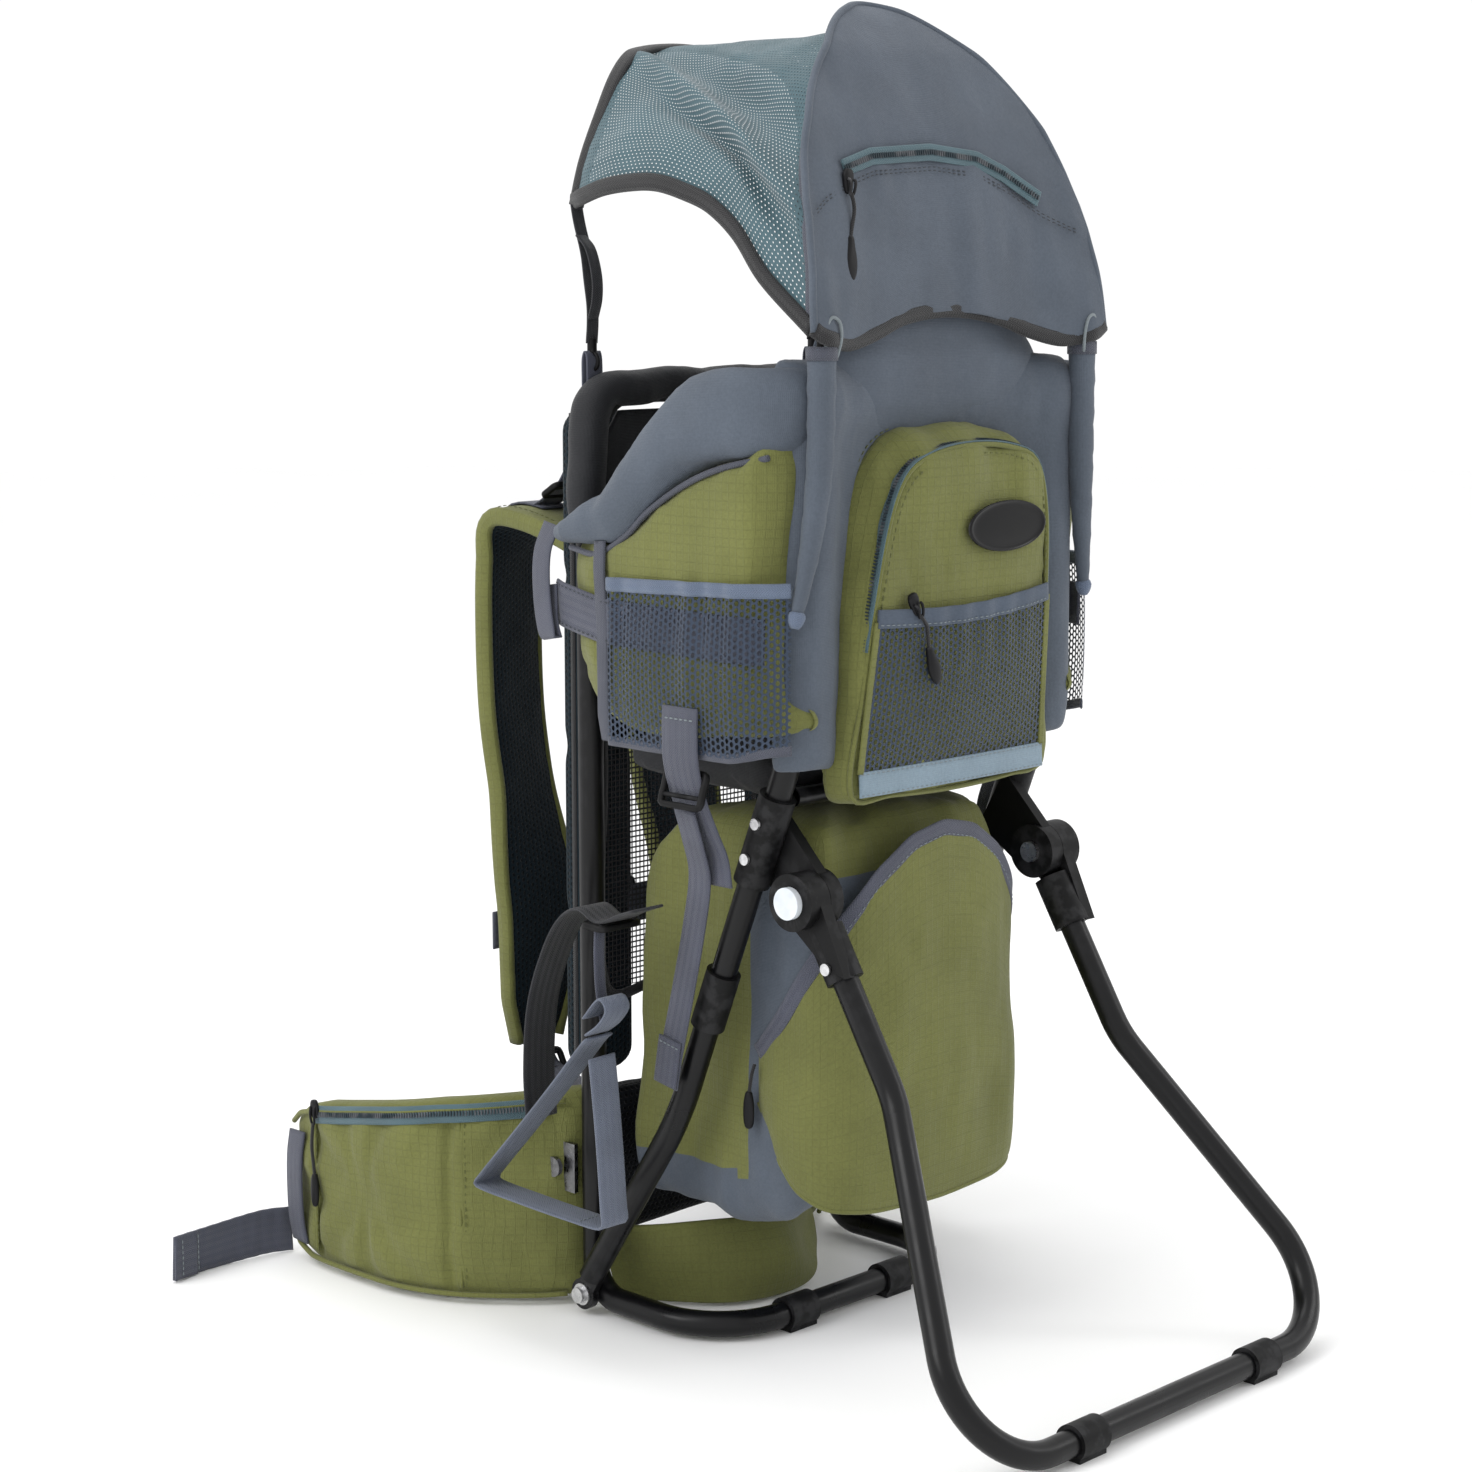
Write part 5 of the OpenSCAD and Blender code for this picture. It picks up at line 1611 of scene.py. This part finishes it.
def hip_wings():
    """Both hip belt wings with their zips, and the sliders that run on them."""
    count, around = 84, 44
    line, out = wing_line(count)
    a = np.linspace(0, 2 * np.pi, around, endpoint=False)
    c = np.sign(np.cos(a)) * np.abs(np.cos(a)) ** 0.62
    s = np.sign(np.sin(a)) * np.abs(np.sin(a)) ** 0.42
    rows = []
    for i in range(count):
        y = line[i, 1]
        top, low = wing_top(y), wing_low(y)
        end = min(1.0, 0.45 + (count - 1 - i) / 7.0)
        side = 1.0 if i > 3 else 0.75 + 0.08 * i
        half = (top - low) / 2
        p = line[i] + out[i] * (c * 13.6 * end * side)[:, None]
        p[:, 2] = (top + low) / 2 + s * half
        rows.append(p)
    wing = outward(grid("hip_wing_left_pad", np.array(rows), M["olive"], closed=True, caps=True))
    subdivide(wing)
    apply_all(wing)
    p = points_of(wing)
    q = p.copy()
    run = np.interp(p[:, 1], line[20:, 1], lengths(line)[20:])
    star = np.arctan2(p[:, 2] - 60, run - lengths(line)[52])
    r = np.hypot(p[:, 2] - 60, run - lengths(line)[52])
    fold = 2.2 * np.sin(star * 9 + 0.4) * smoothstep(8, 30, r) * smoothstep(110, 60, r)
    amount = 2.6 * noise(q * (1, 0.7, 1), 30, 81, 3) + fold * smoothstep(-165, -180, p[:, 0]) \
        + 0.7 * np.sin((p[:, 1] + 1.4 * p[:, 2]) / 8.5) * smoothstep(0.0, 0.6, lattice_noise(q / 45.0, 12))
    groove = sum(np.exp(-((p[:, 1] - g) / 3.2) ** 2) for g in (306, 188))
    edge = np.minimum(smoothstep(0, 12, p[:, 2] - 2), smoothstep(0, 16, wing_top(p[:, 1]) - p[:, 2]))
    amount = np.clip(amount, -4.5, 2.2) * edge - 2.8 * groove * edge
    push(wing, amount)
    p = points_of(wing)
    p[:, 2] = np.maximum(p[:, 2], 0.6)
    move_points(wing, p)
    wing.data.materials.clear()
    wing.data.materials.append(M["olive"])
    wing.data.materials.append(M["air"])
    for f in wing.data.polygons:
        x, y = f.center.x / MM, (f.center.y - BAR_Y) / MM
        k = np.argmin((line[:, 0] - x) ** 2 + (line[:, 1] - y) ** 2)
        inner = (x - line[k, 0]) * out[k, 0] + (y - line[k, 1]) * out[k, 1] < -4
        f.material_index = 1 if inner else 0
    box_uv(wing)
    pieces = [(wing, "hip_wing", "olive_fabric")]
    for tag, sign in (("top", 1), ("low", -1)):
        keep = slice(6, count - 3)
        z = wing_top(line[:, 1]) - 2.5 if sign > 0 else wing_low(line[:, 1]) + 2.2
        pipe = line + out * 13.2
        pipe[:, 2] = z - (2.4 if sign > 0 else -1.8)
        pieces.append((sweep(f"hip_wing_left_piping_{tag}", pipe[keep], oval(3.6, 3.6, 8), (0, 0, 1),
                             M["olive_plain"]), None, None))
    for k, y in enumerate((306, 188)):
        i = int(np.argmin(np.abs(line[30:, 1] - y))) + 30 if y > 200 else int(np.argmin(np.abs(line[:,
                1] - y)))
        zs = np.linspace(wing_low(y) + 8, wing_top(y) - 12, 40)
        seam = np.stack([np.full(40, line[i, 0] + out[i, 0] * 11.4),
                         np.full(40, line[i, 1] + out[i, 1] * 11.4), zs], 1)
        t = np.array((-out[i, 1], out[i, 0], 0))
        pieces.append((sweep(f"hip_wing_left_seam_{k}", seam, oval(2.6, 2.6, 8), t, M["olive_plain"]),
                       None, None))
        pieces.append((stitches(f"hip_wing_left_stitch_{k}", seam + out[i] * 1.2 + t * 3.6, out[i],
                                M["olive_thread"]), None, None))
    keep = slice(10, 70)
    zip_run = line + out * 13.4
    zip_run[:, 2] = wing_top(line[:, 1]) - 7.5
    away = unit(out + np.array([0, 0, 0.25]))
    zip_run = zip_run[keep]
    pieces.append((sweep("hip_zip_tape_left", zip_run + away[keep] * 0.7, tape(12, 1.2), (0, 0, 1),
                         M["zip_tape"]), None, "olive_fabric"))
    pieces.append((zip_teeth("hip_zip_teeth_left", zip_run + away[keep] * 1.4, away[keep], 3.6), None,
                   None))
    sleeve_path = [(-181.5, 329, 88), (-184.6, 328.5, 72), (-185.6, 328, 50), (-184.6, 328, 28),
                   (-181.5, 328, 12)]
    pieces.append((ribbon("hip_wing_left_tab", sleeve_path, 19, (0.12, 1, 0), M["webbing"], 24, 2.2),
                   None, "webbing"))
    for ob, node, slot in pieces:
        other = mirror(ob, ob.name.replace("left", "right"))
        for piece, side in ((ob, "left"), (other, "right")):
            place(piece, "pack", [f"{node}_{side}"] if node else [], slot)
    for s, side in ((LEFT, "left"), (RIGHT, "right")):
        x = s * 188.2
        zs = np.array([116, 114, 111, 108, 105, 103])
        body = sweep(f"hip_slider_{side}", [(x, 301 + (109 - z) * -0.1, z) for z in zs],
                     np.array([oval(w, 3.6, 12, 2.8) for w in (3.5, 7, 8.6, 7.8, 7, 3)]), (0, 1, 0),
                     M["soft_plastic"])
        hoop, _ = cord_tube(f"hip_bail_{side}",
                            [(x, 303, 113), (x + s * 2, 303, 110), (x + s * 2.2, 303, 104),
                                                 (x + s * 1.6, 302, 99.5), (x + s * 1.6, 300, 99.5),
                                                 (x + s * 2.2, 299, 104), (x + s * 2, 299, 110),
                                                 (x, 299, 113)],
                            0.9, M["soft_plastic"])
        slider = subdivide(join(f"hip_slider_{side}", [body, hoop]))
        run, path = cord_tube(f"hip_cord_{side}",
                [(x + s * 1.6, 301, 100.2), (x + s * 2.0, 301.5, 94), (x + s * 2.0, 302.4, 84),
                                                   (x + s * 1.6, 301.8, 74), (x + s * 1.2, 301, 65)],
                                                   1.15, M["cord"], 24)
        grip = sweep(f"hip_grip_{side}", [(x + s * 1.2, 301, z) for z in (66, 64, 60, 54, 48, 44.5, 43)],
                     np.array([oval(w, t, 14, 2.3) for w,
                               t in ((3.2, 3), (5, 3.8), (7, 4.2), (7.6, 4.2), (7, 4), (5, 3.4), (2, 2))]),
                     (0, 1, 0), M["soft_plastic"])
        subdivide(grip)
        mover = f"hip_slider_{side}"
        place(slider, mover, [f"hip_zip_slider_{side}"], "black_plastic")
        place(grip, mover)
        place(run, mover)


def under_fold():
    """The belt's loose lower flap, which lies on the floor under the bag."""
    route = spline([(-92, 112, 0), (-76, 82, 0), (-40, 52, 0), (0, 44, 0), (42, 62, 0), (74, 96, 0),
                    (84, 112, 0)], 70)
    run = np.linspace(0, 1, 70)
    rows = []
    for h in np.linspace(0, 1, 16):
        p = route.copy()
        p[:, 2] = 2.4 + h * (46 + 6 * np.sin(run * 5))
        p[:, 1] += 9 * math.sin(math.pi * h) * np.sin(run * 9 + 1) + 12 * h
        p[:, 0] += 3 * np.sin(run * 14 + 3 * h)
        rows.append(p)
    flap = grid("belt_lower_flap", np.array(rows), M["olive_plain"])
    thicken(flap, 5.0)
    subdivide(flap)
    place(flap, "pack", (), "olive_fabric")


def tails():
    """The belt webbing past each wing, and the buckle."""
    for s, side in ((LEFT, "left"), (RIGHT, "right")):
        route = spline([(s * 177, 344, 0), (s * 192, 349, 0), (s * 206, 350.4, 0), (s * 236, 352, 0),
                        (s * 256, 350, 0), (s * 271, 346.3, 0)], 60)
        run = lengths(route) / lengths(route)[-1]
        top = 15.6 + 0.6 * np.sin(run * 7)
        route[:, 2] = top
        rows = []
        for w in np.linspace(-1, 1, 9):
            lean = 1.2 * np.sin(run * 5 + 0.6) * w
            p = route.copy()
            p[:, 2] += w * 14.9
            p[:, 1] += lean + 0.25 * np.sin(run * 60 + w)
            rows.append(p)
        band = grid(f"belt_tail_{side}_webbing", np.array(rows).transpose(1, 0, 2), M["webbing"])
        thicken(band, 1.7)
        place(band, "pack", [f"belt_tail_{side}"], "webbing")
        if side == "left":
            fold = route[-14:] + np.array([0, -1.8, 0])
            place(sweep("belt_tail_left_fold", fold, tape(29, 1.6), (0, 0, 1), M["webbing"]), "pack")
            for k, j in enumerate((-14, -5)):
                across = np.stack([np.full(20, route[j, 0]), np.full(20, route[j, 1] - 2.9),
                                   np.linspace(3, 28, 20)], 1)
                place(stitches(f"belt_tail_left_stitch_{k}", across, (0, -1, 0), M["thread"], 2.2, 1.4,
                               0.8, 0.3), "pack")
    buckle = release_buckle("belt_buckle_shell", (226, 350.2, 17.2), (1, 0, 0), (0, 0, 1), 50, 32, 11)
    place(buckle, "pack", ["belt_buckle"], "black_plastic")


# ---- side straps and stirrups ----

def loops():
    """Side straps with their locks and tails, and the stirrups with their hangers."""
    pieces = []
    wide = [(-156.2, -11, 405), (-156.8, -11, 390), (-155.8, -11, 372), (-150, -11, 352),
            (-140, -11, 331), (-131.5, -11, 314), (-128, -11, 296)]
    pieces.append((ribbon("side_strap_left", wide, 29, (0, 1, 0), M["webbing"], 50, 1.8), "side_straps",
                   "webbing"))
    cross = np.stack([np.full(24, -157.7), np.linspace(-23, 1, 24), np.full(24, 398)], 1)
    pieces.append((stitches("side_strap_left_stitch", cross, (-1, 0, 0), M["thread"], 2.6, 1.4, 1.0, 0.4),
                   None, None))
    pieces.append((ladder_lock("side_lock_left", (-153.6, -11, 356.5), (0, 1, 0), (0.31, 0, 0.95), 36,
                               24), "ladder_locks", "black_plastic"))
    tail = [(-150.5, -8, 344), (-141, -6, 322), (-132.5, -3, 300), (-130.4, 4, 268), (-130.2, 14, 226),
            (-130.2, 24, 186), (-130.4, 27.5, 167)]
    pieces.append((ribbon("side_tail_left", tail, 19, (0.05, 1, 0.15), M["webbing"], 60, 1.8), None,
                   "webbing"))
    pieces.append((ribbon("side_tail_left_fold",
                          [(-132, 23, 197), (-132.2, 25, 184), (-132.3, 27.5, 168)], 19.5, (0.05, 1, 0.2),
                          M["webbing"], 12, 1.8), None, None))
    cross = np.stack([np.full(20, -133.4), np.linspace(14.5, 31.5, 20), np.linspace(192, 195.5, 20)], 1)
    pieces.append((stitches("side_tail_left_stitch", cross, (-1, 0, 0), M["thread"], 2.2, 1.2, 0.9, 0.3),
                   None, None))
    tri = [(-171, 44, 202), (-171, 49, 198), (-171, 76, 169), (-171, 120, 122), (-171, 144, 96),
           (-171, 147.5, 91), (-171, 142, 89),
           (-171, 110, 88), (-171, 60, 86.5), (-171, 36, 86.5), (-171, 31.5, 90), (-171, 33, 98),
           (-171, 37.5, 140), (-171, 42.5, 190)]
    path = spline(tri, 130)
    path[:, 0] += 1.6 * np.sin(np.linspace(0, 9, 130))
    pieces.append((sweep("stirrup_left_webbing", path, tape(21.5, 1.8), (1, 0, 0), M["pale_webbing"]),
                   "stirrup", "webbing"))
    head = [(-171, 46, 204), (-171, 35, 212), (-171, 28, 222), (-171, 34, 228), (-171, 48, 214)]
    pieces.append((ribbon("stirrup_left_end", head, 20, (1, 0, 0), M["pale_webbing"], 26, 1.6), None, None))
    link = [(-164, 44.9, 205), (-163.6, 50, 228), (-163, 52, 248), (-162, 52.5, 266)]
    pieces.append((ribbon("stirrup_left_link", link, 8.4, (1, 0, 0), M["webbing"], 20, 1.6), None, None))
    hanger = [(-153, 20, 281), (-153, 34, 276), (-153, 52, 269), (-153, 70, 275), (-153, 88, 264),
              (-153, 104, 237),
              (-153, 115, 205), (-153, 118.5, 165), (-153, 116.4, 134)]
    pieces.append((ribbon("stirrup_left_hanger", hanger, 25.5, (1, 0, 0), M["black_webbing"], 70, 1.8),
                   None, None))
    pieces.append((ladder_lock("stirrup_left_lock", (-153, 52, 267), (1, 0, 0), (0, 1, 0.05), 34, 20),
                   None, None))
    for k, j in enumerate((86, 100)):
        a = path[j] + np.array([0, 0, 1.1])
        cross = np.stack([np.linspace(-9, 9, 18) + a[0], np.full(18, a[1]), np.full(18, a[2])], 1)
        pieces.append((stitches(f"stirrup_left_stitch_{k}", cross, (0, 0, 1), M["thread"], 2.0, 1.2, 0.8,
                                0.3), None, None))
    for ob, node, slot in pieces:
        other = mirror(ob, ob.name.replace("left", "right"))
        for piece, side in ((ob, "left"), (other, "right")):
            nodes = [node + "_" + side] if node == "stirrup" else ([node] if node else [])
            place(piece, "pack", nodes, slot)


def canopy_fixings():
    """Straps from the hood to the hooks, not attached to the canopy's body, and the tabs on the frame."""
    for s, side in ((LEFT, "left"), (RIGHT, "right")):
        route = spline([(s * 100, 135.5, 695), (s * 99.5, 132, 680), (s * 99, 127, 660),
                        (s * 99, 123.6, 640), (s * 99, 122.8, 622), (s * 99, 123.2, 611)], 44)
        run = np.linspace(0, 1, 44)
        route[:, 1] += 0.4 * np.sin(run * 14)
        strap = sweep(f"canopy_strap_{side}", route, tape(9.4, 1.5), (1, 0, 0), M["black_webbing"])
        loop = spline([(s * 100.5, 131, 676), (s * 101.5, 121.5, 668), (s * 102, 115.5, 652),
                       (s * 101.5, 115.8, 638), (s * 100.5, 120.6, 626)], 30)
        slack = sweep(f"canopy_slack_{side}", loop, tape(8.6, 1.4), (1, 0, 0), M["black_webbing"])
        for ob, nodes in ((strap, ["canopy_straps"]), (slack, [])):
            if nodes:
                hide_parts(*nodes)
            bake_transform(ob)
        loops_path = [(s * 99, 121.4, 577), (s * 99, 121.2, 590), (s * 99, 121.6, 602),
                      (s * 99, 123.3, 606.3), (s * 99, 125.4, 602),
                      (s * 99, 125.6, 590), (s * 99, 125.4, 577)]
        tab = ribbon(f"hook_loop_{side}", loops_path, 13, (1, 0, 0), M["webbing"], 40, 1.4)
        place(tab, "pack", ["hook_loops"], "webbing")


# ---- finishes of the CAD parts that stay ----

CAD_FINISH = {
    "paint": ["main_frame", "brace_left", "brace_right", "stand_tube", "seat_crossbar"],
    "plastic": ["brace_ferrules", "front_foot_clips", "rear_foot_clips", "socket_left", "socket_right",
                "hinge_bracket_left", "hinge_bracket_right", "canopy_rods", "canopy_hooks"],
    "steel": ["hinge_pins", "bracket_rivets", "frame_bolts", "socket_screws"],
    "dark_steel": ["lumbar_bolts"],
    "button": ["press_button_left", "press_button_right"],
}


def finish_frame():
    """Gives the CAD parts that stay their finish and softened edges."""
    for key, names in CAD_FINISH.items():
        for name in names:
            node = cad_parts[name]
            node.data.materials.clear()
            node.data.materials.append(M[key])
            if key in ("plastic", "button", "steel"):
                mod = node.modifiers.new("soft_edges", "BEVEL")
                mod.width = (0.9 if key == "plastic" else 0.5) * MM
                mod.segments = 2
                mod.limit_method = "ANGLE"
                mod.angle_limit = math.radians(40)
            for f in node.data.polygons:
                f.use_smooth = True
            smooth = node.modifiers.new("even_normals", "WEIGHTED_NORMAL")
            smooth.keep_sharp = True


canopy()
seat()
side_trim()
seat_base()
back_window()
lining_wrap()
seat_underside()
head_panel()
pole_sleeves()
rear_pocket()
rear_net()
blank_badge()
rear_pull()
cargo_bag()
cargo_pocket()
back_system()
harness()
hip_wings()
under_fold()
tails()
loops()
canopy_fixings()
finish_frame()
